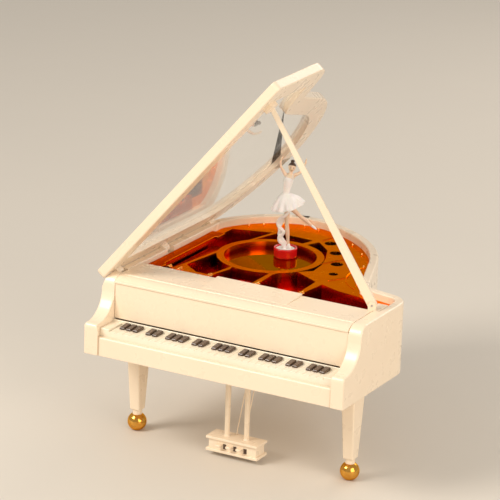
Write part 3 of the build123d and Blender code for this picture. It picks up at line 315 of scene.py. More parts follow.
def smooth_run(points, count):
    """A Catmull-Rom curve through the points, in as many numbers as each point has."""
    p = np.array(points, float)
    p = np.concatenate([2 * p[:1] - p[1:2], p, 2 * p[-1:] - p[-2:-1]])
    t = np.linspace(0, len(p) - 3, count)
    k = np.minimum(t.astype(int), len(p) - 4)
    t = (t - k)[:, None]
    a, b, c, d = p[k], p[k + 1], p[k + 2], p[k + 3]
    return 0.5 * (2 * b + (c - a) * t + (2 * a - 5 * b + 4 * c - d) * t**2 + (3 * b - a - 3 * c + d) * t**3)


def limb(line, radii, sides=20, flat=1.0, across=(0, 1, 0), finish=0, round_ends=True):
    """A ring of points carried along a line, square to it. flat squeezes it along the across direction."""
    line, radii = np.asarray(line, float), np.asarray(radii, float)
    if round_ends:
        bulge = np.array([(0.0, 0.02), (0.13, 0.5), (0.5, 0.87)])
        setting_out = (line[1] - line[0]) / np.linalg.norm(line[1] - line[0])
        arriving = (line[-1] - line[-2]) / np.linalg.norm(line[-1] - line[-2])
        first = line[0] - setting_out * radii[0] * (1 - bulge[:, :1])
        last = line[-1] + arriving * radii[-1] * (1 - bulge[::-1, :1])
        line = np.concatenate([first, line, last])
        radii = np.concatenate([radii[0] * bulge[:, 1], radii, radii[-1] * bulge[::-1, 1]])
    way = np.gradient(line, axis=0)
    way /= np.linalg.norm(way, axis=1)[:, None]
    one = np.cross(way, np.array(across, float))
    one /= np.linalg.norm(one, axis=1)[:, None]
    two = np.cross(way, one)
    a = np.linspace(0, 2 * math.pi, sides, endpoint=False)[None, :, None]
    r = radii[:, None, None]
    grid = line[:, None] + r * np.cos(a) * one[:, None] + flat * r * np.sin(a) * two[:, None]
    return skin(grid, finish=finish)


# ---- finishes -----------------------------------------------------------------------------------


class Finish:
    """A material with one Principled shader and its pattern on Object coordinates."""

    def __init__(self, name, color, roughness, **sockets):
        self.material = bpy.data.materials.new(name)
        self.material.use_nodes = True
        self.tree = self.material.node_tree
        self.shader = self.tree.nodes["Principled BSDF"]
        self.place = self.tree.nodes.new("ShaderNodeTexCoord").outputs["Object"]
        self.material.diffuse_color = (*color, 1)
        self.set(**{"Base Color": (*color, 1), "Roughness": roughness})
        self.set(**sockets)

    def set(self, **sockets):
        """Sets constants on the shader's own sockets."""
        for name, value in sockets.items():
            self.shader.inputs[name.replace("_", " ")].default_value = value

    def node(self, kind, inputs=(), **settings):
        """A new node with its settings made and its inputs set or linked."""
        new = self.tree.nodes.new("ShaderNode" + kind)
        for key, value in settings.items():
            setattr(new, key, value)
        for key, value in dict(inputs).items():
            if isinstance(value, bpy.types.NodeSocket):
                self.tree.links.new(value, new.inputs[key])
            else:
                new.inputs[key].default_value = value
        return new

    def noise(self, scale, detail=3.0, roughness=0.55, place=None):
        """A noise pattern's factor on the object's own coordinates, or on a stretched place."""
        inputs = {"Vector": place or self.place, "Scale": scale, "Detail": detail, "Roughness": roughness}
        return self.node("TexNoise", inputs).outputs["Fac"]

    def between(self, factor, low, high, start=0.3, end=0.7):
        """Maps a factor from start..end to low..high."""
        inputs = {"Value": factor, "From Min": start, "From Max": end, "To Min": low, "To Max": high}
        return self.node("MapRange", inputs).outputs["Result"]

    def blend(self, factor, one, two):
        """Mixes two colours, or linked colours, by a factor."""
        new = self.node("Mix", {"Factor": factor}, data_type="RGBA")
        for key, value in ((6, one), (7, two)):
            if isinstance(value, bpy.types.NodeSocket):
                self.tree.links.new(value, new.inputs[key])
            else:
                new.inputs[key].default_value = (*value, 1)
        return new.outputs[2]

    def height(self):
        """The z of a point, in metres."""
        return self.node("SeparateXYZ", {"Vector": self.place}).outputs["Z"]

    def feed(self, socket, output):
        """Links a pattern to one of the shader's sockets."""
        self.tree.links.new(output, self.shader.inputs[socket])

    def bump(self, *layers):
        """Stacks bumps: each layer is (height, strength, distance in millimetres)."""
        normal = None
        for source, strength, distance in layers:
            inputs = {"Height": source, "Strength": strength, "Distance": distance * MM}
            if normal is not None:
                inputs["Normal"] = normal
            normal = self.node("Bump", inputs).outputs["Normal"]
        self.feed("Normal", normal)


def moulded(name, color, shade, roughness=(0.26, 0.31), **sockets):
    """Glossy moulded plastic: slow drifts of colour, a polish that comes and goes, and faint flow ripples."""
    f = Finish(name, color, roughness[0], **sockets)
    drift = f.noise(22, 2)
    f.feed("Base Color", f.blend(f.between(drift, 0, 1), color, shade))
    f.feed("Roughness", f.between(f.noise(110, 2), roughness[0], roughness[1]))
    f.bump((f.noise(18, 1), 0.04, 0.05))
    return f.material


def ivory_plastic():
    """Cream-white gloss plastic with a clear top."""
    return moulded("ivory_plastic", (0.90, 0.745, 0.560), (0.885, 0.725, 0.540),
                   Coat_Weight=0.25, Coat_Roughness=0.15)


def key_plastic():
    """A slightly yellower, shinier ivory for the white keys."""
    return moulded("key_plastic", (0.91, 0.83, 0.68), (0.88, 0.78, 0.61), (0.16, 0.26), Coat_Weight=0.3)


def dark_key_plastic():
    """Dark brown plastic for the black keys, also used as painted shade in small holes, slots and screw
    crosses.
    """
    return moulded("dark_key_plastic", (0.075, 0.034, 0.013), (0.052, 0.022, 0.010), (0.22, 0.36),
                   Coat_Weight=0.25)


def plated_gold(name, top, shade, deep=None):
    """Gold plating on moulded plastic, rippled with the moulding. Below the plate's top the colour turns to a
    deep red: painted shade down in the pockets and inside the mirror's ring.
    """
    f = Finish(name, top, 0.2, Metallic=1.0, Specular_Tint=(1.0, 0.42, 0.08, 1))
    tone = f.blend(f.between(f.noise(45, 3), 0, 1), top, shade)
    # deep is painted shade: below 90.7 mm the colour darkens towards it, fully by 88 mm.
    if deep:
        tone = f.blend(f.between(f.height(), 1, 0, 0.0880, 0.0907), tone, deep)
    f.feed("Base Color", tone)
    f.feed("Roughness", f.between(f.noise(220, 5), 0.16, 0.28))
    f.bump((f.noise(90, 2), 0.10, 0.08), (f.noise(900, 3), 0.05, 0.02))
    return f.material


def ball_gold():
    """Yellow gold plating with fine handling marks."""
    f = Finish("ball_gold", (0.80, 0.42, 0.08), 0.1, Metallic=1.0, Specular_Tint=(1.0, 0.7, 0.3, 1))
    f.feed("Base Color", f.blend(f.between(f.noise(300, 3), 0, 1), (0.82, 0.44, 0.09), (0.70, 0.32, 0.05)))
    f.feed("Roughness", f.between(f.noise(700, 5), 0.07, 0.22))
    f.bump((f.noise(260, 2), 0.10, 0.05), (f.noise(2400, 3), 0.06, 0.01))
    return f.material


def mirror_glass():
    """A warm toned mirror with faint dust and wiping marks."""
    f = Finish("mirror_glass", (0.46, 0.235, 0.040), 0.03, Metallic=1.0, Specular_Tint=(0.85, 0.42, 0.08, 1))
    lie = {"Vector": f.place, "Scale": (3.0, 0.6, 1.0), "Rotation": (0, 0, 0.6)}
    stretched = f.node("Mapping", lie).outputs[0]
    wipe = f.noise(240, 6, 0.7, stretched)
    tone = f.blend(f.between(wipe, 0, 1, 0.35, 0.75), (0.47, 0.240, 0.040), (0.38, 0.180, 0.028))
    f.feed("Base Color", tone)
    f.feed("Roughness", f.between(wipe, 0.015, 0.10, 0.4, 0.8))
    return f.material


def clear_sheet():
    """Clear styrene: clean, with faint moulding flow and a few dulled patches."""
    f = Finish("clear_sheet", (0.97, 0.97, 0.96), 0.02, Transmission_Weight=1.0, IOR=1.5)
    f.feed("Roughness", f.between(f.noise(90, 4), 0.01, 0.06, 0.35, 0.8))
    f.bump((f.noise(35, 2), 0.05, 0.08))
    return f.material


def metal(name, color, shade, roughness, stretch=(1, 1, 1), fineness=500):
    """Bare metal with drawn or cast marks, which are long where the pattern is stretched."""
    f = Finish(name, color, roughness[0], Metallic=1.0)
    place = f.node("Mapping", {"Vector": f.place, "Scale": stretch}).outputs[0]
    marks = f.noise(fineness, 5, 0.65, place)
    f.feed("Base Color", f.blend(f.between(marks, 0, 1), color, shade))
    f.feed("Roughness", f.between(f.noise(fineness * 0.7, 4, 0.6, place), *roughness))
    f.bump((marks, 0.12, 0.03))
    return f.material


def satin_paint(name, color, shade, **sockets):
    """Hand-sprayed satin paint over plastic."""
    f = Finish(name, color, 0.42, **sockets)
    f.feed("Base Color", f.blend(f.between(f.noise(420, 4), 0, 1), color, shade))
    f.feed("Roughness", f.between(f.noise(900, 3), 0.34, 0.52))
    f.bump((f.noise(1500, 3), 0.12, 0.02))
    return f.material


def hair_paint():
    """Dark brown paint over combed grooves."""
    f = Finish("hair_paint", (0.07, 0.032, 0.014), 0.35)
    place = f.node("Mapping", {"Vector": f.place, "Scale": (1, 1, 5)}).outputs[0]
    strands = f.noise(1600, 4, 0.6, place)
    f.feed("Base Color", f.blend(f.between(strands, 0, 1), (0.10, 0.045, 0.018), (0.035, 0.016, 0.008)))
    f.bump((strands, 0.4, 0.06))
    return f.material


def gauze():
    """The moulded skirt, bodice, shoes and ribbon: white, with a soft depth and a fine grain."""
    f = Finish("gauze", (0.95, 0.89, 0.85), 0.4,
               Subsurface_Weight=0.1, Subsurface_Scale=0.001, Sheen_Weight=0.15)
    grain = f.noise(1400, 5, 0.7)
    f.feed("Base Color", f.blend(f.between(grain, 0, 1), (0.96, 0.91, 0.87), (0.92, 0.84, 0.79)))
    f.bump((grain, 0.2, 0.04))
    return f.material


IVORY = ivory_plastic()
KEY_IVORY = key_plastic()
# The black keys' own colour, and also the painted shade of holes, slots and screw crosses.
DARK_AND_SHADE = dark_key_plastic()
# The third colour is painted shade for the plate's pockets.
GOLD = plated_gold("gold_plating", (0.95, 0.33, 0.030), (0.88, 0.265, 0.020), (0.30, 0.022, 0.004))
BROWN_GOLD = plated_gold("brown_gold", (0.62, 0.150, 0.014), (0.52, 0.105, 0.010))
PALE_GOLD = plated_gold("pale_gold", (0.98, 0.62, 0.24), (0.92, 0.52, 0.16))
BALL = ball_gold()
MIRROR = mirror_glass()
CLEAR = clear_sheet()
STEEL = metal("turned_steel", (0.60, 0.60, 0.61), (0.46, 0.46, 0.48), (0.22, 0.38), (1, 1, 8))
BRASS = metal("rolled_brass", (0.80, 0.58, 0.24), (0.68, 0.46, 0.16), (0.20, 0.36), (1, 6, 1))
ZINC = metal("cast_zinc", (0.50, 0.50, 0.51), (0.38, 0.38, 0.40), (0.36, 0.55), (1, 1, 1), 900)
MAGNET = metal("nickel_magnet", (0.42, 0.42, 0.43), (0.33, 0.33, 0.34), (0.18, 0.32), (1, 1, 1), 700)
RED = moulded("red_plastic", (0.78, 0.010, 0.010), (0.68, 0.007, 0.008), (0.16, 0.24), Coat_Weight=0.4)
WHITE = satin_paint("white_disc", (0.92, 0.88, 0.84), (0.86, 0.80, 0.76))
NYLON = satin_paint("nylon_gear", (0.80, 0.78, 0.72), (0.72, 0.69, 0.62),
                     Subsurface_Weight=0.1, Subsurface_Scale=0.001)
SKIN = satin_paint("skin_paint", (0.90, 0.68, 0.50), (0.86, 0.62, 0.44),
                    Subsurface_Weight=0.15, Subsurface_Scale=0.001)
BLUSH = satin_paint("lip_paint", (0.62, 0.09, 0.08), (0.52, 0.06, 0.06))
HAIR = hair_paint()
GAUZE = gauze()

# ---- case ---------------------------------------------------------------------------------------


def arc(a, b, c, count):
    """Points on the circle through three points, from the first to the last."""
    a, b, c = (np.array(p, float) for p in (a, b, c))
    rows = 2 * np.array([b - a, c - a])
    middle = np.linalg.solve(rows, np.array([b @ b - a @ a, c @ c - a @ a]))
    angles = np.unwrap([math.atan2(*(p - middle)[::-1]) for p in (a, b, c)])
    t = np.linspace(angles[0], angles[2], count)
    return middle + np.linalg.norm(a - middle) * np.stack([np.cos(t), np.sin(t)], 1)


def case_walls():
    """The case's wall: a section carried round the outline from the right arm to the left.

    Each row is the outline at one inset and height. The height of the top follows the arm's side profile,
    drops at the hinge notches, and is the rim's height elsewhere. Both ends draw in on a quarter circle.
    """
    end = 0.9
    start = end * (1 - np.cos(np.linspace(0, math.pi / 2, 5)))
    nose = arc((0, ARM_TOP - 2.2), (0.7, ARM_TOP - 0.6), (2.4, ARM_TOP), 9)
    profile = np.concatenate([
        nose,
        arc((2.4, ARM_TOP), (13.4, ARM_TOP + 4.4), (18.6, ARM_TOP + 14.6), 22)[1:],
        arc((18.6, ARM_TOP + 14.6), (20.4, TOP - 1.9), (25, TOP), 14)[1:],
    ])
    y = np.unique(np.concatenate([start, profile[:, 0]]))
    z = np.interp(y, profile[:, 0], profile[:, 1])
    right_y = np.concatenate([y, [40.0, DECK_BACK - 0.02, DECK_BACK + 0.02, 60.0]])
    right_z = np.concatenate([z, np.full(4, TOP)])
    cuts = np.concatenate([
        [m - HINGE_W / 2 - 0.52, m - HINGE_W / 2 - 0.5, m + HINGE_W / 2 + 0.5, m + HINGE_W / 2 + 0.52]
        for m in HINGE_Y
    ])
    dip = np.tile([TOP, TOP - NOTCH - 0.6, TOP - NOTCH - 0.6, TOP], len(HINGE_Y))
    left_y = np.concatenate([y, cuts])
    left_z = np.concatenate([z, dip])
    steps = [2, 12, 8, 40, 40, 40, 2]

    def ring(inset):
        """The outline from the right arm round the back to the left arm, moved in by the inset."""
        arcs = outline(CORNERS, RADII, np.full(7, float(inset)), steps)
        back = np.concatenate(arcs[1:6])
        right = np.column_stack([np.full(len(right_y), HALF - inset), right_y])
        keep = left_y < arcs[5][-1, 1]
        left = np.column_stack([np.full(keep.sum(), inset - HALF), left_y[keep]])[::-1]
        return np.concatenate([right, back, left])

    keep = left_y < outline(CORNERS, RADII, np.zeros(7), steps)[5][-1, 1]
    middle = len(ring(0)) - len(right_y) - keep.sum()
    top = np.concatenate([right_z, np.full(middle, TOP), left_z[keep][::-1]])
    along = ring(0)[:, 1]
    draw = end - np.sqrt(end**2 - (end - np.minimum(along, end)) ** 2)

    def outer(inset, height):
        """A row of the outside, which leans in under the lid's hinge edge above a height."""
        p = ring(inset)
        p[:, 0] -= np.sign(p[:, 0]) * draw * (along < end)
        lean = np.clip((height - LEAN_FROM) / 7.3, 0, 1.2) * 2.6 * (along > LID_FRONT - 1)
        p[:, 0] = np.maximum(p[:, 0], lean + inset * (height > 94) - HALF)
        return np.column_stack([p, height])

    def inner(inset, height):
        """A row of the inside, held to the arm's thickness at the sides."""
        p = ring(WALL - inset)
        limit = HALF - ARM_W + inset
        p[:, 0] = np.maximum(p[:, 0], draw - limit)
        arm = (p[:, 1] < DECK_BACK) & (p[:, 0] > 0)
        p[arm, 0] = np.minimum(p[arm, 0], limit)
        p[:, 0] += np.where((p[:, 0] > 0) & (along < end), draw, 0)
        return np.column_stack([p, height])

    low = BOTTOM + draw * 0.6
    rows = [outer(0.5 * i, low + 0.5 * (1 - u)) for i, u in fan(3)[::-1]]
    rows += [outer(0, np.minimum(LEAN_FROM, top - RIM_EDGE - draw * 0.6))]
    rows += [outer(RIM_EDGE * i, top - draw * 0.6 - RIM_EDGE * (1 - u)) for i, u in fan(5)]
    rows += [inner(0.8 * i, top - draw * 0.6 - 0.8 * (1 - u)) for i, u in fan(3)[::-1]]
    rows += [inner(0, low)]
    grid = np.array(rows).transpose(1, 0, 2)
    return put("case_walls", [skin(grid)], [IVORY], "case", ["case_shell"], crease=32)


case_walls()

# ---- lid ----------------------------------------------------------------------------------------

LID_CORNERS = ((HALF, LID_FRONT),) + CORNERS[1:6] + ((-HALF, LID_FRONT),)
LID_STEPS = (4, 16, 12, 44, 44, 44, 4)


def lid_ring(inset):
    """The lid's outline in its plane: u from the hinge edge, v back. The inset is less at the front bar."""
    insets = np.full(7, inset - LID_GROW)
    insets[6] = inset - (LID_BAR - FRONT_BAR) * (inset > LID_BAR / 2)
    ring = np.concatenate(outline(LID_CORNERS, RADII, insets, LID_STEPS))
    return ring + np.array([HALF + LID_GROW, 0])


def on_lid(u, v, n):
    """Places in the open lid: u out from the hinge edge, v back, n above its underside."""
    x = LID_X + u * math.cos(OPEN) - n * math.sin(OPEN)
    z = LID_Z + u * math.sin(OPEN) + n * math.cos(OPEN)
    return np.stack([x, v, z], -1)


def lid_frame():
    """The lid's frame: one section carried round, with a seat for the pane, hinge knuckles and a stub."""
    edge, inner_edge = 0.8, 0.5
    section = [(edge * i, edge * (1 - u)) for i, u in fan(4)][::-1]
    section += [(edge * i, LID_T - edge * (1 - u)) for i, u in fan(4)]
    hole = LID_BAR - LEDGE
    section += [(hole - inner_edge * i, LID_T - inner_edge * (1 - u)) for i, u in fan(3)[::-1]]
    section += [(hole, SEAT), (LID_BAR, SEAT)]
    section += [(LID_BAR - inner_edge * i, inner_edge * (1 - u)) for i, u in fan(3)]
    rings = [lid_ring(inset) for inset, _ in section]
    rows = [on_lid(r[:, 0], r[:, 1], np.full(len(r), n)) for r, (_, n) in zip(rings, section)]
    patches = [skin(np.array(rows), wrap_rows=True)]
    a = np.linspace(math.pi, 2 * math.pi, 17)
    bow = np.concatenate([LUG_R * np.stack([np.cos(a), np.sin(a)], 1), [[LUG_R, 2.4], [-LUG_R, 2.4]]])
    ends = ((0.35, 0), (0.1, 0.1), (0, 0.35), (0, HINGE_W - 0.35), (0.1, HINGE_W - 0.1), (0.35, HINGE_W))
    for y in HINGE_Y:
        rows = []
        for inset, back in ends:
            u, n = (bow * (1 - inset / LUG_R)).T
            x = HINGE_X + u * math.cos(OPEN) - n * math.sin(OPEN)
            z = HINGE_Z + u * math.sin(OPEN) + n * math.cos(OPEN)
            rows.append(np.stack([x, np.full(len(x), y - HINGE_W / 2 + back), z], -1))
        patches.append(skin(np.array(rows)))
    tip = (PROP_TIP[0] - LID_X) * math.cos(OPEN) + (PROP_TIP[2] - LID_Z) * math.sin(OPEN)
    stub = slab(rectangle(6.5, 6.5, 0.9), -2.4, 0.5, 0.45)
    points = on_lid(stub[0][:, 0] + tip, stub[0][:, 1] + PROP_TIP[1], stub[0][:, 2])
    patches.append((points, stub[1], 0))
    return put("lid_frame_moulding", patches, [IVORY], "lid", ["lid_frame"], crease=32)


def lid_pane():
    """The clear pane: a thin sheet with softened edges, in the frame's seat."""
    rows = []
    for inset, n in ((0.25, 0.02), (0.05, 0.1), (0, 0.25), (0, 0.95), (0.05, 1.1), (0.25, 1.18)):
        ring = lid_ring(LID_BAR - LEDGE + 0.1 + inset)
        rows.append(on_lid(ring[:, 0], ring[:, 1], np.full(len(ring), SEAT + n)))
    return put("lid_window", [skin(np.array(rows))], [CLEAR], "lid", ["lid_pane"], crease=10)


lid_frame()
lid_pane()


def lid_prop():
    """The prop: a flat tapered stick with rounded edges, round at its foot and cut square at its tip."""
    lean = PROP_TIP - PROP_FOOT
    length = np.linalg.norm(lean)
    level = np.array([lean[0], lean[1], 0]) / np.linalg.norm(lean[:2])
    up = lean / length
    thick = np.cross(level, [0, 0, 1.0])
    side = np.cross(thick, up)
    ends = length * 1.012
    a = np.linspace(-math.pi / 2, math.pi / 2, 13)
    half = 1.3
    foot = np.stack([-2.7 * np.cos(a), 2.7 * np.sin(a)], 1)
    tip = np.array([[ends, half], [ends, -half]])
    shape = np.concatenate([foot, tip])
    middle = np.array([shape[:, 0], np.zeros(len(shape))]).T
    rows = []
    for inset, n in ((0.45, -1.0), (0.13, -0.87), (0, -0.55), (0, 0.55), (0.13, 0.87), (0.45, 1.0)):
        pull = shape - inset * (shape - middle) / np.maximum(np.abs(shape - middle), 0.3)
        pull[:13] = foot * (1 - inset / 2.7)
        rows.append(PROP_FOOT + pull[:, :1] * up + pull[:, 1:] * side + n * thick)
    return put("prop_stick", [skin(np.array(rows))], [IVORY], "prop", ["lid_prop"],
               crease=30)


lid_prop()

# ---- front --------------------------------------------------------------------------------------

softened("front_board", "front_panel", IVORY, 0.35)
softened("deck", "top_deck", IVORY, 0.3)
softened("desk_flap", "music_desk", IVORY, 0.15)
softened("slip", "key_slip", IVORY, 0.3)
softened("cover", "bottom_cover", IVORY, 0.25)
softened("sound_plate", "gold_plate", GOLD, 0.4, 3)


def white_keys():
    """White keys side by side, each with rounded edges and a hair's gap, between two raised end blocks."""
    depth = KEY_BACK - KEY_FRONT
    key = slab(rectangle(KEY_PITCH - 0.12, depth, 0.3, 3), KEY_TOP - 2.6, KEY_TOP, 0.22, 2)
    y = (KEY_FRONT + KEY_BACK) / 2
    patches = [moved(key, (-KEYS_W / 2 + (k + 0.5) * KEY_PITCH, y, 0)) for k in range(WHITE_KEYS)]
    bed = slab(rectangle(BETWEEN, 1.8, 0.2, 2), BOTTOM + 2.6, KEY_TOP - 0.5, 0.15, 2)
    patches.append(moved(bed, (0, KEY_FRONT + 1.0, 0)))
    strip = slab(rectangle(BETWEEN, 1.0, 0.2, 2), KEY_TOP - 2.6, 70.7, 0.25)
    patches.append(moved(strip, (0, KEY_BACK - 0.5, 0)))
    block = slab(rectangle(5.7, depth, 0.5, 3), KEY_TOP - 2.6, KEY_TOP + 1.0, 0.4)
    patches += [moved(block, (side * (BETWEEN / 2 - 2.9), y, 0)) for side in (-1, 1)]
    return put("white_keys", patches, [KEY_IVORY], "case", ["keyboard"])


def black_keys():
    """Black keys in groups of three and two: each is a rounded block that slopes down at its front."""
    half, back = BLACK_HALF, BLACK_BACK
    rows = []
    for inset, rise in ((0.0, -2.0), (0.0, 0.0), (0.04, 0.12), (0.13, 0.22), (0.3, 0.28)):
        ring = rectangle(2 * half, back - BLACK_Y, 0.35, 4)(inset)
        share = (ring[:, 1] + (back - BLACK_Y) / 2) / (back - BLACK_Y)
        slope = np.interp(share, [0, 0.13, 1], [-0.9, -0.05, 0.0])
        z = BLACK_TOP - 0.28 + rise + (slope if rise > -1 else 0)
        rows.append(np.column_stack([ring, np.broadcast_to(z, len(ring))]))
    key = skin(np.array(rows))
    patches, gap = [], 0
    for group in BLACK_GROUPS:
        for _ in range(group):
            gap += 1
            patches.append(moved(key, (-KEYS_W / 2 + gap * KEY_PITCH, (BLACK_Y + back) / 2, 0)))
        gap += 1
    return put("black_keys_set", patches, [DARK_AND_SHADE], "case", ["black_keys"])


white_keys()
black_keys()

# ---- legs, feet and lyre ------------------------------------------------------------------------


def legs():
    """Square legs that narrow downwards with rounded corners, a round neck, and a plated ball under each,
    with a dark disc of painted shade where its hole is.
    """
    for name in ("left", "right", "tail"):
        low, high = span("leg_" + name)
        x, y = ((low + high) / 2 - HOME)[:2]
        size = (high - low)[:2]
        rows = []
        for share, inset in ((0, 0), (0.985, 0), (0.992, 0.12), (0.998, 0.4), (1, 0.75)):
            w, d = size + (np.array([6.4, 6.6]) - size) * share
            ring = rectangle(w, d, 0.9, 5)(inset)
            height = BOTTOM + (LEG_END - BOTTOM) * share
            rows.append(np.column_stack([ring + (x, y), np.full(len(ring), height)]))
        neck = [(2.65, 9.2), (2.65, 11.4), (2.75, 11.9), (3.0, 12.3)]
        put("leg_post_" + name, [skin(np.array(rows)), moved(revolve(neck), (x, y, 0))], [IVORY], "case",
            ["leg_" + name])
        a = np.linspace(-1.135, 1.0, 30)
        ball = np.stack([FOOT_R * np.cos(a), FOOT_Z + FOOT_R * np.sin(a)], 1)
        ball = np.concatenate([[[0.9, 0.35], [1.9, 0.0]], ball[1:], [[2.75, 9.38]]])
        out = np.array(HOLE_FACING[name]) / np.linalg.norm(HOLE_FACING[name])
        side = np.cross(out, [0, 0, 1.0])
        side /= np.linalg.norm(side)
        # A dark disc sunk just inside the ball where its hole is: painted shade for the hole.
        hole_shade = revolve([(0.0, -0.6), (0.85, -0.55), (0.85, -0.16), (0.7, -0.06), (0.0, -0.04)], 24, 1)
        hole_shade = turned(hole_shade, np.array([x, y, FOOT_Z]) + (FOOT_R + 0.02) * out, side, np.cross(out, side), out)
        put("ball_" + name, [moved(revolve(ball, 64), (x, y, 0)), hole_shade], [BALL, DARK_AND_SHADE], "case",
            ["ball_foot_" + name], crease=40)


def lyre():
    """The lyre: a waisted box and two tapered columns with collars. Returns its y."""
    y = sum(span("lyre"))[1] / 2 - HOME[1]
    patches = []
    for w, d, low, high in ((32.3, 12.3, 2.8, 4.3), (29.9, 9.9, 4.2, 10.0), (32.3, 12.3, 9.9, 11.3)):
        patches.append(moved(slab(rectangle(w, d, 0.6), low, high, 0.25 if d > 10 else 0.05), (0, y, 0)))
    column = [(1.9, 11.2), (1.9, 11.5), (1.75, 11.8), (1.45, 12.1), (1.7, BOTTOM - 0.7), (1.9, BOTTOM - 0.4),
              (1.9, BOTTOM)]
    patches += [moved(revolve(column, 32), (x, y, 0)) for x in (-6.1, 6.1)]
    put("lyre_post", patches, [IVORY], "case", ["lyre"])
    return y


legs()
LYRE_Y = lyre()


def lyre_trim():
    """Three pedals, each rounded at its toe, beside thin dark slabs of painted shade that stand for slots,
    and two thin flat stays up to the cover.
    """
    front = LYRE_Y - 12.3 / 2
    pedals, slot_shades = [], []
    for x in (-6.4, 0.0, 6.4):
        pedals.append(moved(slab(rectangle(3.2, 5.6, 0.7), 7.1, 8.3, 0.35), (x - 0.9, front + 0.1, 0)))
        # Each slot is a thin dark slab on the box's face: painted shade, not an opening.
        slot_shades.append(moved(slab(rectangle(1.9, 0.5, 0.1), 5.2, 8.0, 0.05), (x + 1.8, front + 1.15, 0)))
    put("pedals", pedals, [IVORY], "case", ["lyre_pedals"])
    put("pedal_slot_shades", slot_shades, [DARK_AND_SHADE], "case")
    stays = []
    for x in (-2.6, 2.6):
        line = np.linspace([x, LYRE_Y + 4.6, 11.2], [x, LYRE_Y + 20.8, BOTTOM], 6)
        stays.append(limb(line, np.full(6, 0.5), 12, 0.6, (1, 0, 0), round_ends=False))
    put("stays", stays, [IVORY], "case", ["lyre_braces"])


lyre_trim()

# ---- plate trim ---------------------------------------------------------------------------------


def pins():
    """Hitch pins: short domed studs where the CAD has them."""
    top = span("hitch_pins")[1][2]
    foot = [(0.62, PLATE_TOP - 0.05), (0.62, PLATE_TOP + 0.3), (0.5, PLATE_TOP + 0.45)]
    stud = revolve([*foot, (0.5, top - 0.4), (0.42, top - 0.15), (0.25, top - 0.02), (0.0, top)], 16)
    studs = [moved(stud, (x, y, 0)) for x, y, _ in island_centres("hitch_pins")]
    put("studs", studs, [PALE_GOLD], "case", ["hitch_pins"])


def island_centres(node):
    """The middles of a CAD node's separate solids, in case places."""
    work = bmesh.new()
    work.from_mesh(nodes[node].data)
    bmesh.ops.remove_doubles(work, verts=work.verts, dist=5e-6)
    left, middles = set(work.verts), []
    while left:
        island, edge = set(), {next(iter(left))}
        while edge:
            island |= edge
            edge = {e.other_vert(v) for v in edge for e in v.link_edges} - island
        left -= island
        co = np.array([v.co for v in island]) / MM
        middles.append((co.min(0) + co.max(0)) / 2 - HOME)
    work.free()
    return sorted(middles, key=lambda p: (round(p[0], 2), p[1]))


def screw_heads(name, node, radius, low, high, material):
    """Domed screw heads where the CAD has them, each with a thin dark cross laid on its top: painted shade
    for a cross slot.
    """
    patches = []
    for x, y, _ in island_centres(node):
        a = np.linspace(0, math.pi / 2, 6)
        dome = [(radius, low)]
        dome += [(radius * np.cos(t) ** 0.6, low + (high - low) * (0.45 + 0.55 * np.sin(t))) for t in a]
        patches.append(moved(revolve(dome, 28), (x, y, 0)))
        for w, d in ((1.2, 0.26), (0.26, 1.2)):
            # The cross is a thin dark slab on the dome: painted shade standing for a cut.
            cross_shade = slab(rectangle(w * radius, d * radius, 0.02, 2), 0, 0.06, 0.02, 1)
            patches.append((moved(cross_shade, (x, y, high - 0.03))[0], cross_shade[1], 1))
    put(name, patches, [material, DARK_AND_SHADE], "case", [node])


def bar(a, b, width, low, high, edge=0.12):
    """A straight rib between two places on the plate, with rounded edges."""
    a, b = np.array(a, float), np.array(b, float)
    way = (b - a) / np.linalg.norm(b - a)
    rib = slab(rectangle(np.linalg.norm(b - a), width, width / 4, 3), low, high, edge, 2)
    return turned(rib, [*(a + b) / 2, 0], [*way, 0], [-way[1], way[0], 0], [0, 0, 1])


def plate_ribs():
    """Fine ribs and a curved step on the plate, brackets on the struts' ends, and the flange by the spine."""
    top = PLATE_TOP
    ribs = [bar(a, b, 0.5, top - 0.2, top + 0.3) for a, b in (
        ((-12.7, 151.3), (-9.9, 160.5)), ((6.1, 113.2), (13.6, 127.5)), ((23.4, 89.3), (30.4, 101.0)))]
    bow = arc((42.0, 85.0), (28.2, 102.8), (30.2, 122.0), 40)
    ring = np.array([(0.3, -0.2), (0.3, 0.22), (0.12, 0.34), (-0.12, 0.34), (-0.3, 0.22), (-0.3, -0.2)])
    out = np.gradient(bow, axis=0)
    out = np.stack([-out[:, 1], out[:, 0]], 1) / np.linalg.norm(out, axis=1)[:, None]
    step = np.concatenate([
        bow[:, None] + ring[None, :, :1] * out[:, None],
        np.broadcast_to(top + ring[None, :, 1:], (len(bow), len(ring), 1)),
    ], -1)
    ribs.append(skin(step))
    put("plate_ribs", ribs, [GOLD], "case")
    brackets = []
    for x, y in ((-61.6, 60.5), (-54.6, 60.2), (-35.2, 59.6), (-6.4, 61.5), (21.4, 61.3)):
        brackets.append(moved(slab(rectangle(3.0, 2.6, 0.4, 3), top - 3.0, top + 0.7, 0.25), (x, y, 0)))
        brackets.append(moved(slab(rectangle(1.2, 3.6, 0.3, 3), top + 0.4, top + 1.2, 0.2), (x, y + 0.4, 0)))
    put("strut_brackets", brackets, [PALE_GOLD], "case")
    flange = [moved(slab(rectangle(6.4, 74.0, 0.6), top - 0.4, top + 1.6, 0.4), (-68.5, 90.0, 0))]
    end = slab(rectangle(8.6, 8.0, 0.8), top - 0.3, top + 1.75, 0.4)
    flange += [moved(end, (-67.4, y, 0)) for y in (56.5, 123.5)]
    sill = slab(rectangle(8.5, 56.0, 1.0), POCKET_FLOOR - 0.2, POCKET_FLOOR + 3.0, 0.4)
    flange.append(moved(sill, (-60.6, 89.0, 0)))
    put("spine_flange", flange, [BROWN_GOLD], "case")


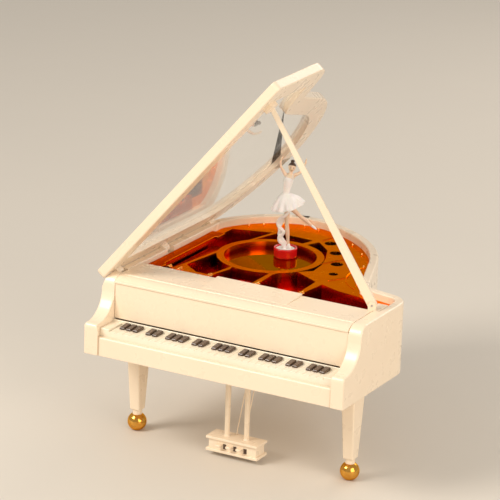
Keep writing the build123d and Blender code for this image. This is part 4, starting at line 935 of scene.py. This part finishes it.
pins()
plate_ribs()
screw_heads("plate_heads", "plate_screws", 0.72, PLATE_TOP - 0.9, PLATE_TOP - 0.35, GOLD)
screw_heads("cover_heads", "cover_screws", 2.05, BOTTOM + 1.1, BOTTOM + 0.15, STEEL)

# ---- dancer -------------------------------------------------------------------------------------

cup_low, cup_high = span("dancer_cup")
CUP = (cup_low + cup_high) / 2 - HOME
ACROSS = np.array([math.cos(TURN), math.sin(TURN), 0])
DEEP = np.array([-math.sin(TURN), math.cos(TURN), 0])


def figure(points):
    """Places of the dancer: s across, z up from the floor, and deep away from the viewer, about the cup."""
    p = np.asarray(points, float)
    base = np.array([CUP[0], CUP[1], 0])
    return base + p[:, :1] * ACROSS + p[:, 2:3] * DEEP + p[:, 1:2] * np.array([0, 0, 1.0])


def part(joints, count, flat=1.0, finish=0, sides=20):
    """A limb through joints of (s, z, deep, radius)."""
    run = smooth_run(joints, count)
    return limb(figure(run[:, :3]), np.maximum(run[:, 3], 0.12), sides, flat, DEEP, finish)


def cup():
    """The magnet cup: red, with a rolled rim and a faint belt, and the white disc in it."""
    r, low, high = 6.75, cup_low[2], cup_high[2]
    wall = [
        (r - 0.7, low), (r - 0.25, low + 0.06), (r - 0.04, low + 0.3), (r - 0.04, low + 0.9),
        (r, low + 1.0), (r, high - 1.1), (r - 0.05, high - 0.95), (r - 0.03, high - 0.35),
        (r - 0.2, high - 0.08), (r - 0.5, high), (r - 0.95, high - 0.08), (r - 1.2, high - 0.35),
        (r - 1.3, high - 0.9), (r - 1.3, low + 1.0),
    ]
    put("cup_wall", [moved(revolve(wall, 72), (CUP[0], CUP[1], 0))], [RED], "dancer",
        ["dancer_cup"], crease=50)
    d_low, d_high = span("cup_disc")
    plate = slab(disc(5.39, 56), d_low[2], d_high[2], 0.3)
    put("cup_top", [moved(plate, (CUP[0], CUP[1], 0))], [WHITE], "dancer", ["cup_disc"])


def skirt():
    """The skirt: rows from waist to hem, which widen, tilt up at the raised leg, and pleat at the hem."""
    t = np.linspace(0, 1, 22)[:, None]
    a = np.linspace(0, 2 * math.pi, 144, endpoint=False)[None, :]
    wave = np.cos(12 * a + 0.5 * np.sin(2 * a))
    pleat = 1 + 0.075 * t**1.5 * wave + 0.03 * t**2 * np.cos(5 * a + 1)
    r = (1.75 + 7.6 * t**0.82) * pleat
    tilt = math.radians(15) * t
    s = -0.6 + 1.0 * t + r * np.cos(a) * np.cos(tilt)
    deep = 0.94 * r * np.sin(a)
    drop = 124.6 - 4.9 * t**1.15 - 1.6 * t**3
    z = drop + r * np.cos(a) * np.sin(tilt) + 0.35 * t**2 * wave - 1.3 * t**2 * (1 - np.sin(a)) / 2
    z = np.broadcast_to(z, s.shape)
    outer = figure(np.stack([s, z, deep], -1).reshape(-1, 3)).reshape(22, 144, 3)
    under = outer[::-1].copy()
    under[..., 2] -= 0.28
    grid = np.concatenate([outer, under])
    return skin(grid, finish=1)


def on_head(x, z, deep):
    """Places about the middle of the tilted head: x across it, z up it, and deep away from the viewer."""
    s = HEAD_S + x * math.cos(HEAD_TILT) - z * math.sin(HEAD_TILT)
    up = HEAD_Z + x * math.sin(HEAD_TILT) + z * math.cos(HEAD_TILT)
    grid = np.stack([s, up, deep], -1)
    return figure(grid.reshape(-1, 3)).reshape(grid.shape)


def head():
    """Head and chin as one rounded form: a sphere drawn in at the jaw, with a small nose pushed out of it."""
    v = np.linspace(0, math.pi, 26)[:, None]
    a = np.linspace(0, 2 * math.pi, 40, endpoint=False)[None, :]
    s, deep, up = np.sin(v) * np.cos(a), np.sin(v) * np.sin(a), np.cos(v) * np.ones_like(a)
    jaw = 1 - 0.22 * np.clip(-up, 0, 1) ** 1.3
    front = np.exp(-((s / 0.22) ** 2)) * np.exp(-(((up + 0.12) / 0.16) ** 2)) * (deep < 0)
    chin = np.exp(-((s / 0.35) ** 2)) * np.exp(-(((up + 0.78) / 0.2) ** 2)) * (deep < 0)
    return skin(on_head(HEAD_W * s * jaw, HEAD_H * up, HEAD_D * deep * jaw - 0.42 * front - 0.12 * chin))


def hair():
    """Hair drawn back: a cap a little larger than the head, open at the face, and a bun on the crown."""
    v = np.linspace(0, 1.0, 20)[:, None]
    a = np.linspace(0, 2 * math.pi, 40, endpoint=False)[None, :]
    reach = np.where(np.sin(a) < 0, 0.98 + 0.35 * (1 + np.sin(a)), 1.33 + 0.75 * np.sin(a))
    polar = v * reach
    comb = 1 + 0.012 * np.cos(24 * a) * np.sin(math.pi * v)
    s = 2.28 * np.sin(polar) * np.cos(a) * comb
    d = 2.48 * np.sin(polar) * np.sin(a) * comb
    z = 2.95 * np.cos(polar)
    cap = on_head(s, z, d)
    inner = cap[::-1] * 0.93 + 0.07 * figure([[HEAD_S, HEAD_Z, 0]])
    bun = revolve([(0.0, 0.0), (0.9, 0.15), (1.2, 0.6), (1.15, 1.0), (0.8, 1.4), (0.0, 1.6)], 24)
    base = figure([[2.15, 142.6, 0.9]])[0]
    return [skin(np.concatenate([cap, inner]), finish=2), (bun[0] + base, bun[1], 2)]


def face():
    """Plain painted eyes, brows and lips, set on the head: flat ovals that follow its front."""
    marks = []
    for s, z, w, h, finish in ((1.15, 140.15, 0.34, 0.2, 2), (2.75, 139.95, 0.34, 0.2, 2),
                               (1.15, 140.75, 0.42, 0.08, 2), (2.75, 140.55, 0.42, 0.08, 2),
                               (1.85, 138.75, 0.42, 0.17, 3)):
        a = np.linspace(0, 2 * math.pi, 20, endpoint=False)
        rows = []
        for share, lift in ((1.0, -0.10), (1.0, 0.02), (0.6, 0.05), (0.05, 0.06)):
            x, y = s + share * w * np.cos(a), z + share * h * np.sin(a)
            off = (x - HEAD_S) / HEAD_W, (y - HEAD_Z) / HEAD_H
            round_front = np.sqrt(np.maximum(1 - off[0] ** 2 - off[1] ** 2, 0.05))
            d = -HEAD_D * round_front * (1 - 0.2 * np.clip(-off[1], 0, 1) ** 1.3)
            rows.append(figure(np.stack([x, y, d - lift], -1)))
        marks.append(skin(np.array(rows), finish=finish))
    return marks


def dancer():
    """The dancer on one foot: limbs, a fitted bodice, a pleated skirt, a plain face and tied-up hair."""
    base = span("cup_disc")[1][2]
    standing = [
        (2.3, base + 0.1, -1.0, 0.75), (1.9, base + 1.1, -0.3, 0.8), (1.4, base + 3.0, 0.1, 0.72),
        (1.0, 98.5, 0.2, 1.0), (0.6, 101.8, 0.25, 1.28), (0.35, 104.6, 0.1, 1.12),
        (0.2, 106.6, -0.1, 1.12), (0.1, 110.5, 0, 1.45), (0.0, 115.5, 0, 1.75),
        (-0.1, 120.5, 0, 1.9),
    ]
    raised = [
        (0.5, 120.0, 0.3, 1.8), (2.6, 115.8, 0.8, 1.65), (5.8, 112.4, 1.6, 1.25),
        (7.9, 110.4, 2.0, 1.02), (10.2, 108.8, 2.2, 1.15), (12.6, 106.7, 2.2, 0.9),
        (14.4, 105.2, 2.0, 0.6), (15.6, 104.4, 1.9, 0.62), (16.9, 103.4, 1.7, 0.38),
    ]
    torso = [
        (-0.1, 119.5, 0, 3.0), (-0.6, 121.8, 0, 2.75), (-0.8, 124.6, 0, 1.95),
        (-0.7, 126.2, 0, 1.95), (-0.3, 129.2, -0.1, 2.35), (0.1, 131.8, -0.2, 2.75),
        (0.5, 133.6, -0.1, 2.7),
    ]
    chest = [
        (0.3, 132.6, -0.1, 2.68), (0.7, 134.4, 0, 2.7), (1.0, 135.6, 0, 2.2),
        (1.2, 136.3, 0.05, 1.25), (1.45, 137.2, 0.05, 0.95), (1.7, 138.6, 0, 0.92),
    ]
    left = [
        (-0.8, 134.6, 0, 1.0), (-1.9, 136.0, -0.1, 0.98), (-3.4, 138.4, -0.4, 0.84),
        (-4.4, 140.6, -0.7, 0.72), (-4.7, 142.4, -0.9, 0.66), (-4.5, 144.4, -1.0, 0.5),
        (-4.1, 145.6, -1.1, 0.52), (-3.2, 146.9, -1.2, 0.26),
    ]
    right = [
        (2.7, 134.6, 0, 1.0), (3.9, 135.6, -0.1, 0.98), (5.6, 136.6, -0.3, 0.84),
        (7.1, 137.8, -0.5, 0.74), (8.2, 139.8, -0.7, 0.68), (9.2, 142.4, -0.9, 0.52),
        (9.6, 143.8, -1.0, 0.54), (9.9, 145.6, -1.1, 0.26),
    ]
    patches = [part(standing, 44), part(raised, 36)]
    patches += [part(torso, 40, 0.74, 1, 28), part(chest, 26, 0.72, 0, 28)]
    patches += [part(left, 34), part(right, 34), head(), skirt(), *hair(), *face()]
    shoe = [(2.4, base + 0.1, -1.1, 0.85), (1.95, base + 1.0, -0.35, 0.92), (1.6, base + 2.2, 0.0, 0.86)]
    toe = [(14.5, 105.1, 2.0, 0.7), (15.7, 104.3, 1.9, 0.7), (17.0, 103.3, 1.7, 0.42)]
    strap_l = [
        (-1.5, 133.0, -1.3, 0.3), (-1.3, 134.6, -1.2, 0.28), (-0.9, 135.7, 0.0, 0.28),
        (-1.2, 134.4, 1.4, 0.28),
    ]
    strap_r = [
        (2.4, 133.0, -1.4, 0.3), (2.6, 134.6, -1.2, 0.28), (2.4, 135.9, 0.0, 0.28),
        (2.4, 134.4, 1.4, 0.28),
    ]
    patches += [part(shoe, 12, finish=1), part(toe, 12, finish=1), part(strap_l, 16, finish=1, sides=10),
                part(strap_r, 16, finish=1, sides=10)]
    ribbon = [
        (0.9, 113.8, -1.2, 0.8), (-1.4, 111.4, -1.5, 1.05), (-3.9, 109.2, -0.8, 1.1),
        (-4.7, 106.4, -0.2, 1.15), (-3.6, 104.0, -0.6, 1.1), (-1.7, 102.2, -1.6, 1.1),
        (-2.4, 100.2, -1.4, 1.15), (-3.7, 98.6, -0.9, 1.15), (-3.4, 96.2, -0.9, 1.15),
        (-1.5, 94.6, -0.8, 1.1), (-0.6, base + 0.2, -0.5, 1.05),
    ]
    twin = [
        (s + 2.2 * math.sin(k * 1.1), z, deep + 1.1, r * 0.8)
        for k, (s, z, deep, r) in enumerate(ribbon[1:])
    ]
    patches += [part(ribbon, 70, 0.55, 1, 16), part(twin, 60, 0.55, 1, 16)]
    put("dancer_figure", patches, [SKIN, GAUZE, HAIR, BLUSH], "dancer", ["dancer"],
        crease=60)


cup()
dancer()

# ---- carried-over CAD pieces --------------------------------------------------------------------

KEPT = {
    MIRROR: ["mirror"],
    STEEL: ["hinge_pins", "prop_pin", "bed_screws", "winding_arbor", "mainspring", "cylinder_axle", "comb",
            "comb_screws", "arm_shaft"],
    BRASS: ["spring_barrel", "barrel_cover", "cylinder", "governor_frame", "arm_pinion", "winding_key"],
    ZINC: ["movement_bedplate", "cylinder_bearings", "comb_base", "takeoff_bridge"],
    NYLON: ["cylinder_pinion", "governor_fly", "sun_gear", "magnet_arm", "planet_gear"],
    MAGNET: ["drive_magnet", "cup_magnet"],
    IVORY: ["prop_bracket"],
}
for material, names in KEPT.items():
    for name in names:
        nodes[name].data.materials.clear()
        nodes[name].data.materials.append(material)

# ---- floor, light and camera --------------------------------------------------------------------


def studio():
    """A pale floor that sweeps out past the view, a soft sky, and three large lamps."""
    x, y = np.meshgrid(np.linspace(-4, 4, 9), np.linspace(-4, 4, 9))
    points = np.stack([x, y, np.zeros_like(x)], -1).reshape(-1, 3)
    mesh = bpy.data.meshes.new("floor")
    mesh.from_pydata(points.tolist(), [], quads(9, 9).tolist())
    floor = bpy.data.objects.new("floor", mesh)
    bpy.context.scene.collection.objects.link(floor)
    paint = Finish("floor_paint", (0.66, 0.61, 0.54), 0.55)
    paint.feed("Roughness", paint.between(paint.noise(12, 3), 0.5, 0.62))
    mesh.materials.append(paint.material)
    world = bpy.data.worlds.new("studio")
    bpy.context.scene.world = world
    world.use_nodes = True
    world.node_tree.nodes["Background"].inputs["Color"].default_value = (1.0, 0.95, 0.88, 1)
    world.node_tree.nodes["Background"].inputs["Strength"].default_value = 0.52
    for name, place, size, power, color in (
        ("key", (-0.55, -0.75, 0.85), 0.5, 10.5, (1.0, 0.94, 0.86)),
        ("fill", (0.9, -0.5, 0.45), 0.7, 5.5, (1.0, 0.93, 0.84)),
        ("back", (0.15, 0.95, 0.65), 0.6, 3.0, (1.0, 0.93, 0.85)),
    ):
        lamp = bpy.data.lights.new(name, "AREA")
        lamp.size, lamp.energy, lamp.color = size, power, color
        holder = bpy.data.objects.new(name, lamp)
        bpy.context.scene.collection.objects.link(holder)
        holder.location = place
        aim = np.array([0, 0, 0.1]) - np.array(place)
        holder.rotation_euler = vector(aim).to_track_quat("-Z", "Y").to_euler()


def vector(values):
    return Vector(tuple(float(v) for v in values))


def camera():
    """A long lens at 28 degrees round and 18 degrees up, rolled two degrees."""
    round_, up, roll = (math.radians(a) for a in (28.08, 18.08, 2.06))
    target = (np.array([-10.67, 60.0, 110.59]) + HOME) * MM
    back = np.array([math.sin(round_) * math.cos(up), -math.cos(round_) * math.cos(up), math.sin(up)])
    right = np.array([math.cos(round_), math.sin(round_), 0])
    above = np.cross(back, right)
    x_axis = math.cos(roll) * right + math.sin(roll) * above
    y_axis = -math.sin(roll) * right + math.cos(roll) * above
    eye = bpy.data.cameras.new("camera")
    eye.lens = 230.4
    eye.sensor_width = 36.0
    eye.clip_start = 0.05
    holder = bpy.data.objects.new("camera", eye)
    bpy.context.scene.collection.objects.link(holder)
    matrix = np.eye(4)
    matrix[:3, 0], matrix[:3, 1], matrix[:3, 2] = x_axis, y_axis, back
    matrix[:3, 3] = target + back * 1.7584
    holder.matrix_world = Matrix([[float(v) for v in row] for row in matrix])
    bpy.context.scene.camera = holder


studio()
camera()
bpy.context.scene.view_settings.view_transform = "Standard"
